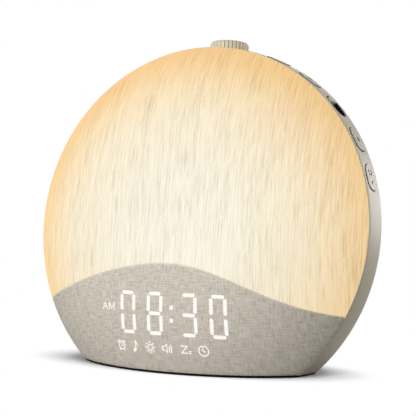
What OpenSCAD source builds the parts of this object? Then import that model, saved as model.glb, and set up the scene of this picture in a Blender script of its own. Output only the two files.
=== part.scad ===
// Sunrise alarm clock: a leaning round body with a glowing dome, a cloth-finished display panel,
// a painted side ring with push keys and a slide switch, and a push-and-turn knob on top.
// Body frame: origin at the centre of the face edge, X to the right, Y to the back, Z up the face.

/* [Face and dome] */
// Diameter of the face, where the dome meets the side ring
face_d = 190; // [182:1:200]
// Height of the dome in front of the face edge
dome_h = 33; // [30:0.5:36]
// Radius of the almost flat crown of the dome
crown_r = 645; // [550:5:800]
// Radius of the rounded shoulder of the dome
shoulder_r = 73.3; // [71:0.1:77]
// Wall of the two dome shells
dome_wall = 2.4; // [2:0.1:2.8]
// Depth of the skirt that the dome shells push into the ring
skirt_depth = 1.5; // [1.2:0.1:1.7]

/* [Stance] */
// Angle that the body leans back
lean = 7.38; // [4:0.1:10]
// Height of the face centre above the flat underside of the shells
base_drop = 71.2; // [69:0.2:74]
// Thickness of the black rubber pad under the shells
pad_t = 1.2; // [0.8:0.1:2.5]
// Set-back of the pad from the edge of the shells
pad_inset = 0.3; // [0.1:0.1:0.8]

/* [Wave between lamp and display] */
// Place of the wave's crest, to the right of the centre
crest_x = 2; // [-6:1:8]
// Height of the crest, below the centre
crest_z = -21; // [-23:0.5:-17]
// Drop from the crest to the troughs
wave_drop = 21.2; // [18:0.2:23]
// Distance from the crest to the trough on the left
wave_left = 107; // [100:1:125]
// Distance from the crest to the trough on the right
wave_right = 88; // [84:1:110]
// Gap between the two dome shells along the wave
wave_gap = 0.2; // [0.1:0.05:0.4]

/* [Side ring] */
// Depth of the ring
ring_w = 15.2; // [14.8:0.1:17]
// How much wider the ring is at its rear edge, on the radius
ring_flare = 1.1; // [0.6:0.1:1.8]
// Radius of the ring's bulge, from front to back
ring_bulge_r = 85; // [60:1:140]
// Wall of the ring at its front edge
ring_wall = 2; // [1.7:0.1:2.4]
// Thickness of the ring's inner ledge, which carries the chassis
ledge_t = 2; // [1.5:0.1:2.5]
// Thickness of the ring's rear lip, which carries the rear cover
lip_t = 1.6; // [1.2:0.1:1.7]

/* [Keys and slide switch] */
// Angle of the lowest key above the horizontal
key_first = 16.3; // [15.8:0.1:18]
// Angle from one control to the next
key_pitch = 12.4; // [11.9:0.1:12.9]
// Length of a key along the ring
key_len = 13.6; // [12.5:0.1:15]
// Width of a key across the ring
key_wid = 9; // [8:0.1:9.2]
// Distance of the keys' middle behind the face edge
key_y = 7.1; // [7:0.1:7.6]
// How far a key stands proud of the ring
key_proud = 0.3; // [0.2:0.1:0.8]
// Gap around a key
key_gap = 0.35; // [0.25:0.05:0.4]
// How far a key pushes in
key_travel = 0.6; // [0.3:0.1:0.7]
// Length of the slide switch's grip
nub_len = 3.4; // [3:0.1:4]
// Travel of the slide switch
nub_travel = 5; // [3:0.1:5.5]
// Depth of the black cup that the slide's grip runs in
well_depth = 2.2; // [1.8:0.1:2.4]

/* [Display] */
// Height of a digit between the middles of its top and bottom bars
digit_h = 19.8; // [18:0.2:21]
// Height of the pictograms above the flat underside of the shells
icon_rise = 8.6; // [8:0.1:10]
// Height of the digits' middle above the pictograms
digit_rise = 16.9; // [16:0.1:18]

/* [Rear cover] */
// Radius of the rear cover where it meets the ring, less than the face radius by this
cover_step = 4; // [3.2:0.1:4.4]
// Depth of the rear cover behind the ring
cover_depth = 29; // [28.5:0.5:34]
// Radius of the rear cover's rounded edge
cover_round = 26; // [22:0.5:27]
// Wall of the rear cover
cover_wall = 2.4; // [2:0.1:2.8]
// Thickness of the flat floor of the shells
floor_t = 2.4; // [1.8:0.1:3]

/* [Knob] */
// Diameter of the knob
knob_d = 21; // [20:0.5:22.5]
// Height of the knob
knob_h = 10.3; // [10:0.1:12]
// Distance of the knob's axis behind the face edge
knob_y = 27.5; // [27:0.1:29]
// Number of flutes around the knob
knob_flutes = 30; // [20:1:36]
// How far the knob pushes in
knob_travel = 0.5; // [0.3:0.1:0.6]
// Diameter of the encoder's shaft
shaft_d = 6; // [5:0.1:6.2]

/* [Speaker] */
// Diameter of the speaker's flange
speaker_d = 57; // [52:1:58]
// Height of the speaker's centre, below the face centre
speaker_z = -20; // [-24:0.5:-19]
// Diameter of the holes in the speaker grille
grille_hole = 2; // [1.4:0.1:2.4]
// Distance between the holes in the speaker grille
grille_pitch = 3.7; // [3.4:0.1:5]

/* [Main board] */
// Gap between the main board and the bosses beside it
main_gap = 3.2; // [2:0.1:6]
// Height of the main board
main_high = 44; // [40:1:46]
// Height of the main board's middle above the face centre
main_z = 36; // [34:0.5:38]

/* [Power inlet] */
// Diameter of the round recess around the inlet
inlet_d = 12; // [11:0.2:14]
// Depth of the recess around the inlet
inlet_depth = 5; // [4.6:0.1:6]
// Diameter of the socket in the inlet
socket_d = 5.6; // [5:0.1:6.5]

/* [Hidden] */
$fn = 96;

// Colours of the finishes
champagne = "#cdc6b5";
warm_glow = "#f6d9a4";
cloth_grey = "#b3aa9c";
satin_black = "#1c1c1d";
bright_white = "#f2f1ec";
board_green = "#2f6b46";
steel = "#b9bcc0";
brass = "#c9a85a";

far = 400;         // longer than any cut has to be
run_gap = 0.3;     // gap between pieces that move past each other
seat_gap = 0.1;    // gap between round faces that sit in each other
board_t = 1.6;     // thickness of the circuit boards

face_r = face_d / 2;
face_z = pad_t + base_drop;

// Dome: a crown arc and a shoulder arc that is tangent to it and ends on the face edge
crown_c = crown_r - dome_h;
shoulder_k = (pow(face_r, 2) + pow(dome_h, 2) - 2 * crown_r * (dome_h - shoulder_r)) / (2 * shoulder_r);
shoulder_turn = atan2(crown_c, face_r) - acos(shoulder_k / norm([face_r, crown_c]));
shoulder_x = face_r - shoulder_r * cos(shoulder_turn);
shoulder_y = shoulder_r * sin(shoulder_turn);

// Ring: inner wall, and the centre of its bulging outer arc
ring_in = face_r - ring_wall;
ring_chord = norm([ring_flare, ring_w]);
ring_rise = sqrt(pow(ring_bulge_r, 2) - pow(ring_chord / 2, 2));
ring_cx = face_r + ring_flare / 2 - ring_w / ring_chord * ring_rise;
ring_cy = ring_w / 2 + ring_flare / ring_chord * ring_rise;
lip_in = face_r - cover_step - 2.6;
ledge_w = 5;
skirt_t = 2;
skirt_in = ring_in - run_gap - skirt_t;

// Rear cover
cover_r = face_r - cover_step;
back_y = ring_w + cover_depth;

// The body leans about the face centre, and the whole clock is centred on its footprint
front_reach = shoulder_y * cos(lean) - shoulder_x * sin(lean) - shoulder_r;
rear_reach = (back_y - cover_round) * cos(lean) + (cover_r - cover_round) * sin(lean) + cover_round;
face_y = -(front_reach + rear_reach) / 2;

// Chassis plate, and the bosses that the rear cover's screws hold
plate_y = skirt_depth;
plate_t = 2;
plate_r = ring_in - 0.6;
boss_ring = face_r - 23;
boss_angles = [40, 140, 220, 320];
boss_r = 4;
boss_end = 12;
boss_hole_r = 1.5;
well_floor = 2;
well_r = 3.4;
well_wall = 1.2;
thread_gap = 0.05;
head_r = 2.7;
head_t = 2;

// Keys: the sector of the ring that they take, and the layers under them, measured on the radius
key_flange = 0.8;
key_flange_t = 1.2;
flange_top = ring_in - run_gap;
flange_low = flange_top - key_flange_t;
key_stack = 10;
key_wall_r = face_r - key_stack;
key_wall_t = 2;
key_sheet_t = 0.5;
switch_low = key_wall_r + key_sheet_t + 2 * seat_gap;
switch_t = 3.2;
switch_side = 6;
plunger_r = 1.5;
key_side = 6.5;
past_ring = face_r + 6;
sector_margin = asin((key_len / 2 + key_side) / key_wall_r);
sector_low = key_first - sector_margin;
sector_high = key_first + 4 * key_pitch + sector_margin;

// Slide switch: its grip rests at the upper end of the black cup in the ring's opening
cup_wall = 0.6;
cup_set_back = 0.2;
cup_out = key_gap - seat_gap;
cup_in = cup_out - cup_wall;
nub_side = cup_in - run_gap;
nub_top = key_len / 2 + nub_side;
nub_mid = nub_top - nub_len / 2;
well_low = key_face_x() - well_depth;
lever_side = 1.6;

// Knob and encoder, measured along the knob's axis
seat_top = cover_r + 0.8;
seat_r = 11.5;
seat_wall = 2.4;
encoder_side = 12;
encoder_h = 6.5;
encoder_top = seat_top - seat_wall;
bushing_r = shaft_d / 2 + 0.6;
bushing_top = encoder_top + 5;
nut_t = 2;
knob_low = seat_top + knob_travel + 0.5;
knob_top = knob_low + knob_h;
knob_cap_t = 2;
plunger_low = encoder_top - encoder_h + 1.5;
plunger_t = 1;

// Lamp
led_side = 3;
led_t = 0.9;
led_pitch = face_r * 0.21;
led_rings = [for (i = [1 : 4]) [led_pitch * i - 2, 6 * i]];
lamp_margin = 5;
reflector_t = 0.8;

// Display: four digits, a colon and a row of pictogram windows
digit_x = [for (share = [-0.955, -0.167, 0.783, 1.561]) digit_h * share];
icon_z = icon_rise - base_drop;
digit_z = icon_z + digit_rise;
digit_half_w = digit_h * 0.22;
digit_half_h = digit_h / 2;
stroke = digit_h * 0.08;
colon_x = digit_h * 0.308;
icon_pitch = digit_h * 0.473;
icon_x = [for (i = [0 : 5]) icon_pitch * (i - 2.66)];
icon_r = digit_h * 0.15;
guide_edge = 1.4;
guide_low = [digit_x[0] - digit_half_w - icon_pitch * 1.36, icon_z - icon_r - guide_edge];
guide_high = [digit_x[3] + digit_half_w * 2.1, digit_z + digit_half_h + 2 * guide_edge];
display_y = dome_y(norm([guide_high[0], guide_low[1]])) + dome_wall + 2.2;
post_r = 2.5;

// Main board
main_y = 10;
main_wid = 2 * (boss_ring * cos(boss_angles[0]) - boss_r - main_gap);
main_holes = [for (x = [-1, 1]) for (z = [-1, 1])
    [x * (main_wid / 2 - 5), main_z + z * (main_high / 2 - 4)]];
cell_d = 20;
cell_t = 3.2;
cell_at = on_main(0.625, 0);

// Parts on the main board: the place as shares of its half width and half height, and the size
main_blocks = [
    [[-0.5, 0.36], [12, 12, 1.4]], [[0.06, 0.5], [18, 14, 2.6]], [[-0.59, -0.5], [7, 10, 1.6]],
    [[-0.23, -0.68], [10, 6, 6]], [[0.1, -0.68], [10, 6, 6]]
];
main_cans = [[-0.29, -0.23], [-0.06, -0.23], [0.13, -0.23]];

// Speaker, stacked from the rear cover's inner face
speaker_r = speaker_d / 2;
cover_face = back_y - cover_wall;
grille_r = speaker_r - 0.5;
grille_t = 1.2;
gasket_t = 0.8;
flange_t = 1.2;
frame_y = cover_face - gasket_t - flange_t;
basket_depth = 9;
basket_wall = 1;
neck_y = frame_y - basket_depth;
coil_r = 6;
gasket_w = 1.6;
magnet_r = 16;
magnet_t = 8;
clamp_ring = speaker_r + 2.9;
clamp_angles = [30, 150, 270];

// Power inlet, low on the back, on the left as seen from the front
inlet_wall = 1.6;
inlet_ring = cover_r - cover_round - inlet_d / 2 - inlet_wall - 1.8;
inlet_angle = 217.7;
inlet_x = inlet_ring * cos(inlet_angle);
inlet_z = inlet_ring * sin(inlet_angle);

// ---------------------------------------------------------------- helpers

// Stands the leaning body frame on the ground
module leaning() translate([0, face_y, face_z]) rotate([-lean, 0, 0]) children();

// Keeps what is above a level over the ground
module above(level) {
    intersection() {
        children();
        translate([-far / 2, -far / 2, level]) cube(far);
    }
}

// Turns a profile of [radius, y] around the body's axis, which runs from front to back
module around_axis() rotate([-90, 0, 0]) rotate_extrude($fn = 180) children();

// A round bar from y0 to y1, parallel to the body's axis
module bar_y(r, x, z, y0, y1, fn = 48) {
    translate([x, y0, z]) rotate([-90, 0, 0]) cylinder(r = r, h = y1 - y0, $fn = fn);
}

// A box from one corner to the other
module block(low, high) translate(low) cube(high - low);

// An outline in X and Z, extruded from y0 to y1
module slab_y(y0, y1) translate([0, y1, 0]) rotate([90, 0, 0]) linear_extrude(y1 - y0) children();

// A wedge of the whole body between two angles above the horizontal
module sector(low, high) {
    slab_y(-far / 2, far / 2)
        polygon([[0, 0], far * [cos(low), sin(low)], far * [cos((low + high) / 2), sin((low + high) / 2)],
                 far * [cos(high), sin(high)]]);
}

// ---------------------------------------------------------------- forms of the shells

// Points of an arc about a centre, by angle from the direction towards the front
function arc(cx, cy, r, from, to, steps) =
    [for (i = [0 : steps]) let (a = from + (to - from) * i / steps) [cx + r * sin(a), cy - r * cos(a)]];

// Y of the dome's shoulder at a radius
function dome_y(r) = shoulder_y - sqrt(pow(shoulder_r, 2) - pow(r - shoulder_x, 2));

// Half section of the dome, moved inwards by inset, with a straight tail behind the face edge
module dome_profile(inset = 0, tail = 0) {
    join = atan(shoulder_x / (crown_c - shoulder_y));
    bend = shoulder_r - inset;
    crown = arc(0, crown_c, crown_r - inset, 0, join, 3);
    shoulder = arc(shoulder_x, shoulder_y, bend, join, acos(shoulder_y / bend), 16);
    edge = shoulder[16][0];
    polygon(concat(crown, [for (i = [1 : 16]) shoulder[i]], tail > 0 ? [[edge, tail]] : [], [[0, tail]]));
}

module dome_solid(inset = 0, tail = 0) around_axis() dome_profile(inset, tail);

// Half section of the ring's outer form, grown outwards by grow
module ring_profile(grow = 0) {
    steps = 6;
    edge = [for (i = [0 : steps]) let (y = ring_w * i / steps)
        [ring_cx + sqrt(pow(ring_bulge_r + grow, 2) - pow(y - ring_cy, 2)), y]];
    polygon(concat([[0, 0]], edge, [[0, ring_w]]));
}

// Half section of the rear cover's form, moved inwards by inset
module cover_profile(inset = 0) {
    r = cover_r - inset;
    top = back_y - inset;
    bend = cover_round - inset;
    translate([0, ring_w]) square([r, cover_depth - cover_round]);
    translate([0, ring_w]) square([r - bend, cover_depth - inset]);
    intersection() {
        translate([r - bend, top - bend]) circle(bend, $fn = 120);
        translate([0, ring_w]) square([far / 2, far / 2]);
    }
}

// Height of the wave's edge at x
function wave_z(x) =
    crest_z - wave_drop / 2 * (1 - cos(180 * (x - crest_x) / (x < crest_x ? wave_left : wave_right)));

// Everything below the wave's edge, moved up by lift
module below_wave(lift = 0) {
    reach = face_r + 5;
    steps = 40;
    edge = [for (i = [0 : steps]) let (x = reach * (2 * i / steps - 1)) [x, wave_z(x) + lift]];
    slab_y(-far / 2, far / 2) polygon(concat(edge, [[reach, -far / 2], [-reach, -far / 2]]));
}

// The dome's shell down to its flat floor, with the skirt that goes into the ring
module dome_shell() {
    difference() {
        above(pad_t) leaning() dome_solid();
        above(pad_t + floor_t) leaning() dome_solid(dome_wall, 1);
    }
    above(pad_t + floor_t + seat_gap) leaning() around_axis()
        translate([skirt_in, -2]) square([skirt_t, 2 + skirt_depth]);
}

// ---------------------------------------------------------------- outer shells

module front_diffuser() {
    color(warm_glow) difference() {
        dome_shell();
        leaning() below_wave(wave_gap / 2);
    }
}

module display_cover() {
    color(cloth_grey) intersection() {
        dome_shell();
        leaning() below_wave(-wave_gap / 2);
    }
}

module side_ring() {
    ledge_y = plate_y + plate_t;
    color(champagne) difference() {
        above(pad_t) leaning() around_axis() ring_profile();
        above(pad_t + floor_t) leaning() difference() {
            around_axis() translate([0, -1]) square([ring_in, ring_w + 2]);
            // inner ledge, which stops short of the keys
            difference() {
                around_axis() translate([ring_in - ledge_w, ledge_y]) square([ledge_w + 1, ledge_t]);
                sector(sector_low, sector_high);
            }
            // rear lip
            around_axis() translate([lip_in, ring_w - lip_t]) square([ring_in - lip_in + 1, lip_t]);
        }
        leaning() for (i = [0 : 4]) at_key(i) pill(key_gap, flange_low, past_ring);
    }
}

module rear_cover() {
    color(champagne) difference() {
        union() {
            difference() {
                above(pad_t) leaning() around_axis() cover_profile();
                above(pad_t + floor_t) leaning() {
                    around_axis() cover_profile(cover_wall);
                    around_axis() translate([0, ring_w - 1]) square([cover_r - cover_wall, 2]);
                }
            }
            leaning() knob_turret();
            leaning() intersection() {
                around_axis() cover_profile(cover_wall / 2);
                union() {
                    for (a = boss_angles) at_boss(a) bar_y(well_r + well_wall, 0, 0, ring_w, back_y);
                    bar_y(inlet_d / 2 + inlet_wall, inlet_x, inlet_z, cover_face - inlet_depth, back_y);
                }
            }
            leaning() for (a = boss_angles)
                at_boss(a) bar_y(well_r + well_wall, 0, 0, boss_end, ring_w + 1);
            leaning() for (a = clamp_angles) at_clamp(a) bar_y(2.8, 0, 0, frame_y, cover_face + 0.5);
        }
        leaning() {
            for (a = boss_angles) at_boss(a) {
                bar_y(well_r, 0, 0, boss_end + well_floor, back_y + 1);
                bar_y(boss_hole_r + 0.2, 0, 0, boss_end - 1, back_y);
            }
            for (a = clamp_angles) at_clamp(a) bar_y(1.25, 0, 0, frame_y - 1, cover_face + 1);
            bar_y(grille_r + seat_gap, 0, speaker_z, back_y - grille_t, back_y + 1, 96);
            bar_y(grille_r - 4, 0, speaker_z, cover_face - 1, back_y + 1, 96);
            bar_y(inlet_d / 2, inlet_x, inlet_z, back_y - inlet_depth, back_y + 1);
            bar_y(inlet_d / 2 - 1.5, inlet_x, inlet_z, cover_face - inlet_depth - 1, back_y);
            translate([0, knob_y, 0]) {
                cylinder(r = seat_r - seat_wall, h = encoder_top, $fn = 64);
                cylinder(r = bushing_r + 0.2, h = far / 2, $fn = 48);
            }
        }
    }
}

// Round turret on the rear cover that the knob turns on
module knob_turret() {
    low = cover_r - 15;
    translate([0, knob_y, low]) cylinder(r = seat_r, h = seat_top - low, $fn = 96);
}

module base_pad() {
    color(satin_black) intersection() {
        leaning() {
            dome_solid(pad_inset);
            around_axis() ring_profile(-pad_inset);
            around_axis() cover_profile(pad_inset);
        }
        translate([-far / 2, -far / 2, 0]) cube([far, far, pad_t]);
    }
}

// ---------------------------------------------------------------- chassis

module at_boss(angle) rotate([0, -angle, 0]) translate([boss_ring, 0, 0]) children();

module at_clamp(angle) {
    translate([0, 0, speaker_z]) rotate([0, -angle, 0]) translate([clamp_ring, 0, 0]) children();
}

module chassis() {
    back = plate_y + plate_t;
    color(bright_white) above(pad_t + floor_t + seat_gap) leaning() difference() {
        union() {
            difference() {
                bar_y(plate_r, 0, 0, plate_y, back, 180);
                // room for the keys
                difference() {
                    sector(sector_low, sector_high);
                    bar_y(key_wall_r, 0, 0, -1, ring_w, 180);
                }
            }
            // curved wall behind the keys
            intersection() {
                sector(sector_low, sector_high);
                difference() {
                    bar_y(key_wall_r, 0, 0, plate_y, ring_w - lip_t - run_gap, 180);
                    bar_y(key_wall_r - key_wall_t, 0, 0, plate_y - 1, ring_w, 180);
                }
            }
            for (a = boss_angles) at_boss(a) bar_y(boss_r, 0, 0, plate_y, boss_end);
            for (p = main_holes) bar_y(3, p[0], p[1], plate_y, main_y);
            for (p = display_posts()) bar_y(post_r, p[0], p[1], display_y + board_t, plate_y + 1);
        }
        for (a = boss_angles) at_boss(a) bar_y(boss_hole_r, 0, 0, plate_y + 1.5, boss_end + 1);
        for (p = main_holes) bar_y(1.25, p[0], p[1], plate_y + 1, main_y + 1);
        // ways through for the leads
        for (x = [-28, 28]) bar_y(6, x, 2, plate_y - 1, back + 1);
        bar_y(9, crest_x, digit_z, plate_y - 1, back + 1);
    }
}

function display_posts() = [
    for (x = [guide_low[0] + 4, guide_high[0] - 4]) for (z = [guide_low[1] + 5, guide_high[1] - 5]) [x, z]
];

module cover_screws() {
    color(steel) leaning() for (a = boss_angles) at_boss(a) {
        bar_y(head_r, 0, 0, boss_end + well_floor, boss_end + well_floor + head_t);
        bar_y(boss_hole_r - thread_gap, 0, 0, plate_y + 3, boss_end + well_floor + 0.5);
    }
}

// ---------------------------------------------------------------- lamp

// Outline of the flat lamp parts: the face above the wave
module lamp_area(y0, y1) {
    difference() {
        bar_y(face_r - 8, 0, 0, y0, y1, 180);
        below_wave(lamp_margin);
        sector(sector_low, sector_high);
    }
    intersection() {
        bar_y(key_wall_r - key_wall_t - 1, 0, 0, y0, y1, 180);
        sector(sector_low - 1, sector_high + 1);
    }
}

function led_places() = [
    for (ring = led_rings) for (i = [0 : ring[1] - 1])
        let (a = 360 * (i + 0.5) / ring[1], x = ring[0] * cos(a), z = ring[0] * sin(a))
            if (z > wave_z(x) + lamp_margin + 4) [x, z]
];

module light_board() {
    color(bright_white) leaning() difference() {
        lamp_area(plate_y - board_t, plate_y);
        for (x = [-28, 28]) bar_y(4, x, 2, -far / 2, far / 2);
    }
}

module light_leds() {
    front = plate_y - board_t;
    color(warm_glow) leaning() for (p = led_places())
        block([p[0] - led_side / 2, front - led_t, p[1] - led_side / 2],
              [p[0] + led_side / 2, front, p[1] + led_side / 2]);
}

module reflector() {
    back = plate_y - board_t;
    color(bright_white) leaning() difference() {
        lamp_area(back - reflector_t, back);
        for (p = led_places()) bar_y(led_side * 0.8, p[0], p[1], -far / 2, far / 2, 24);
    }
}

// Wall along the wave that keeps the lamp's light off the display
module light_divider() {
    color(bright_white) above(pad_t + floor_t + seat_gap) leaning() intersection() {
        difference() {
            below_wave(0.8);
            below_wave(-0.8);
        }
        dome_solid(dome_wall + run_gap, plate_y);
        bar_y(skirt_in - run_gap, 0, 0, -far / 2, plate_y, 180);
    }
}

// ---------------------------------------------------------------- display

// A bar of a digit with pointed ends, lying along X
module segment(length) {
    tip = stroke / 2;
    half = length / 2 - 0.25;
    polygon([[-half, 0], [tip - half, tip], [half - tip, tip],
             [half, 0], [half - tip, -tip], [tip - half, -tip]]);
}

// The seven bars of a digit
module digit() {
    for (z = [-digit_half_h, 0, digit_half_h]) translate([0, z]) segment(2 * digit_half_w);
    for (x = [-1, 1]) for (z = [-1, 1])
        translate([x * digit_half_w, z * digit_half_h / 2]) rotate(90) segment(digit_half_h);
}

// Every window of the display, as an outline in X and Z
module display_windows() {
    for (x = digit_x) translate([x, digit_z]) digit();
    for (z = [-1, 1]) translate([colon_x, digit_z + 3.1 * z]) circle(stroke / 2, $fn = 16);
    for (x = icon_x) translate([x, icon_z]) circle(icon_r, $fn = 24);
}

// Black block with a light duct behind each window, shaped to the inside of the panel
module display_guide() {
    color(satin_black) leaning() difference() {
        intersection() {
            dome_solid(dome_wall + run_gap);
            block([guide_low[0], -far / 2, guide_low[1]], [guide_high[0], display_y, guide_high[1]]);
        }
        slab_y(-far / 2, far / 2) display_windows();
    }
}

module display_board() {
    color(board_green) leaning() block([guide_low[0], display_y, guide_low[1]],
                                       [guide_high[0], display_y + board_t, guide_high[1]]);
}

module display_leds() {
    places = concat(
        [for (x = digit_x) for (s = [[0, -1], [0, 0], [0, 1], [-1, -0.5], [-1, 0.5], [1, -0.5], [1, 0.5]])
            [x + s[0] * digit_half_w, digit_z + s[1] * digit_half_h]],
        [for (s = [-1, 1]) [colon_x, digit_z + 3.1 * s]],
        [for (x = icon_x) [x, icon_z]]);
    color(bright_white) leaning() for (p = places)
        block([p[0] - 0.5, display_y - 0.6, p[1] - 0.5], [p[0] + 0.5, display_y, p[1] + 0.5]);
}

// ---------------------------------------------------------------- main board

// Place on the main board, from shares of its half width and half height
function on_main(x, z) = [x * main_wid / 2, main_z + z * main_high / 2];

module main_board() {
    color(board_green) leaning() difference() {
        block([-main_wid / 2, main_y, main_z - main_high / 2],
              [main_wid / 2, main_y + board_t, main_z + main_high / 2]);
        for (p = main_holes) bar_y(boss_hole_r, p[0], p[1], main_y - 1, main_y + board_t + 1);
    }
}

module main_parts() {
    face = main_y + board_t;
    color(satin_black) leaning() {
        for (b = main_blocks) let (at = on_main(b[0][0], b[0][1]), half = b[1] / 2)
            block([at[0] - half[0], face, at[1] - half[1]],
                  [at[0] + half[0], face + b[1][2], at[1] + half[1]]);
        for (c = main_cans) let (at = on_main(c[0], c[1])) bar_y(3, at[0], at[1], face, face + 9, 32);
    }
}

module cell_holder() {
    face = main_y + board_t;
    color(satin_black) leaning() difference() {
        bar_y(cell_d / 2 + 1.6, cell_at[0], cell_at[1], face, face + cell_t, 64);
        bar_y(cell_d / 2 + seat_gap, cell_at[0], cell_at[1], face + 0.8, face + cell_t + 1, 64);
        // slot to push the cell out
        block([cell_at[0] - 4, face + 0.8, cell_at[1]],
              [cell_at[0] + 4, face + cell_t + 1, cell_at[1] + cell_d]);
    }
}

module backup_cell() {
    face = main_y + board_t + 0.8;
    color(steel) leaning() bar_y(cell_d / 2, cell_at[0], cell_at[1], face, face + cell_t, 64);
}

module board_screws() {
    face = main_y + board_t;
    color(steel) leaning() for (p = main_holes) {
        bar_y(2.4, p[0], p[1], face, face + 1.6);
        bar_y(1.2, p[0], p[1], main_y - 5, face + 0.5);
    }
}

// ---------------------------------------------------------------- speaker

// Centres of the grille's holes, on a grid of equal triangles inside a circle
function grille_holes() = [
    for (row = [-9 : 9]) for (col = [-9 : 9])
        let (x = grille_pitch * (col + (row % 2 == 0 ? 0 : 0.5)), z = grille_pitch * row * sqrt(3) / 2)
            if (norm([x, z]) < grille_r - 5) [x, z]
];

module speaker_grille() {
    color(champagne) leaning() difference() {
        bar_y(grille_r, 0, speaker_z, back_y - grille_t, back_y, 96);
        for (p = grille_holes())
            bar_y(grille_hole / 2, p[0], speaker_z + p[1], back_y - grille_t - 1, back_y + 1, 16);
    }
}

module speaker_gasket() {
    color(satin_black) leaning() difference() {
        bar_y(speaker_r, 0, speaker_z, cover_face - gasket_t, cover_face, 96);
        bar_y(speaker_r - gasket_w, 0, speaker_z, cover_face - gasket_t - 1, cover_face + 1, 96);
    }
}

// A cone about the speaker's axis, from radius r0 at y0 to r1 at y1
module cone_y(r0, r1, y0, y1) {
    translate([0, y0, 0]) rotate([-90, 0, 0]) cylinder(r1 = r0, r2 = r1, h = y1 - y0, $fn = 96);
}

// Steel basket: a flange, and a cone with four windows
module speaker_frame() {
    wide = speaker_r - 2.5;
    color(steel) leaning() translate([0, 0, speaker_z]) difference() {
        union() {
            bar_y(speaker_r, 0, 0, frame_y, frame_y + flange_t, 96);
            cone_y(magnet_r - 1, wide, neck_y, frame_y);
        }
        cone_y(magnet_r - 1, wide - basket_wall, neck_y + basket_wall, frame_y);
        bar_y(wide - basket_wall, 0, 0, frame_y - 0.01, frame_y + flange_t + 1, 96);
        bar_y(coil_r + 1, 0, 0, neck_y - 1, neck_y + basket_wall + 1);
        for (a = [45 : 90 : 315]) rotate([0, a, 0])
            block([magnet_r - 1, neck_y + 2, -6], [speaker_r, frame_y - 1.5, 6]);
    }
}

// Paper cone with its dust cap, its coil and the rolled edge on the flange
module speaker_cone() {
    low = frame_y - 5;
    high = frame_y + flange_t;
    rim = speaker_r - gasket_w - 0.2;
    cap_r = coil_r + 2;
    cap_ball = 10;
    color(satin_black) leaning() translate([0, 0, speaker_z]) {
        difference() {
            cone_y(cap_r, rim - 2, low, high + 0.4);
            cone_y(cap_r, rim - 2, low + 0.6, high + 1);
        }
        difference() {
            bar_y(rim, 0, 0, high, high + 0.4, 96);
            bar_y(rim - 2.6, 0, 0, high - 1, high + 1, 96);
        }
        intersection() {
            translate([0, low - sqrt(pow(cap_ball, 2) - pow(cap_r, 2)), 0]) sphere(r = cap_ball, $fn = 96);
            bar_y(cap_r, 0, 0, low, low + cap_ball);
        }
        bar_y(coil_r, 0, 0, neck_y + 0.3, low + 0.5);
    }
}

module speaker_magnet() {
    color("#3a3a3d") leaning() difference() {
        bar_y(magnet_r, 0, speaker_z, neck_y - magnet_t, neck_y, 96);
        bar_y(3, 0, speaker_z, neck_y - magnet_t - 1, neck_y - magnet_t + 2);
    }
}

module speaker_screws() {
    color(steel) leaning() for (a = clamp_angles) at_clamp(a) {
        bar_y(3.2, 0, 0, frame_y - 1.6, frame_y, 32);
        bar_y(1.2, 0, 0, frame_y - 0.5, cover_face + 0.6, 32);
    }
}

// ---------------------------------------------------------------- knob and encoder

module on_knob_axis() leaning() translate([0, knob_y, 0]) children();

module encoder_body() {
    low = encoder_top - encoder_h;
    half = encoder_side / 2;
    color(steel) on_knob_axis() difference() {
        union() {
            block([-half, -half, low], [half, half, encoder_top]);
            translate([0, 0, encoder_top - 1])
                cylinder(r = bushing_r, h = bushing_top - encoder_top + 1, $fn = 48);
        }
        translate([0, 0, low + 0.8]) cylinder(r = shaft_d / 2 + 0.06, h = encoder_h + 6, $fn = 48);
    }
}

module encoder_nut() {
    color(brass) on_knob_axis() difference() {
        translate([0, 0, seat_top]) cylinder(r = bushing_r + 2.2, h = nut_t, $fn = 6);
        cylinder(r = bushing_r + 0.05, h = far / 2, $fn = 48);
    }
}

module encoder_board() {
    top = encoder_top - encoder_h;
    half = encoder_side / 2;
    color(board_green) on_knob_axis() block([-half, -half, top - 1], [half, half, top]);
}

module encoder_plunger() {
    color(satin_black) on_knob_axis() translate([0, 0, plunger_low])
        cylinder(r = shaft_d / 2 - 0.1, h = plunger_t, $fn = 48);
}

module encoder_shaft() {
    low = plunger_low + plunger_t + 0.05;
    flat = shaft_d / 2 - 1.5;
    color(steel) on_knob_axis() difference() {
        translate([0, 0, low]) cylinder(d = shaft_d, h = knob_top - knob_cap_t - seat_gap - low, $fn = 48);
        block([flat, -shaft_d, bushing_top + 1.5], [shaft_d, shaft_d, knob_top]);
    }
}

module knob() {
    flat = shaft_d / 2 - 1.5 + 0.02;
    r = knob_d / 2;
    flute_r = 0.75;
    bevel = 0.9;
    color(champagne) on_knob_axis() difference() {
        intersection() {
            translate([0, 0, knob_low]) cylinder(r = r, h = knob_h, $fn = 120);
            translate([0, 0, knob_low])
                cylinder(r1 = r + knob_h - bevel, r2 = r - bevel, h = knob_h, $fn = 120);
        }
        // flutes, which run out in the bevel of the top edge
        for (i = [0 : knob_flutes - 1]) rotate(360 * i / knob_flutes)
            translate([r + flute_r * 0.45, 0, knob_low - 1])
                cylinder(r = flute_r, h = knob_h + 2, $fn = 16);
        // hollow for the nut, and the bore for the shaft with its flat
        translate([0, 0, knob_low - 1])
            cylinder(r = bushing_r + 2.8, h = bushing_top - knob_low + 2.2, $fn = 64);
        difference() {
            translate([0, 0, knob_low]) cylinder(r = shaft_d / 2 + 0.02, h = knob_h - knob_cap_t, $fn = 48);
            block([flat, -shaft_d, bushing_top + 2], [shaft_d, shaft_d, knob_top]);
        }
    }
}

// ---------------------------------------------------------------- keys

// Local frame of one of the five controls: X out of the ring, Z along it
module at_key(i) rotate([0, -(key_first + key_pitch * i), 0]) children();

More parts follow.
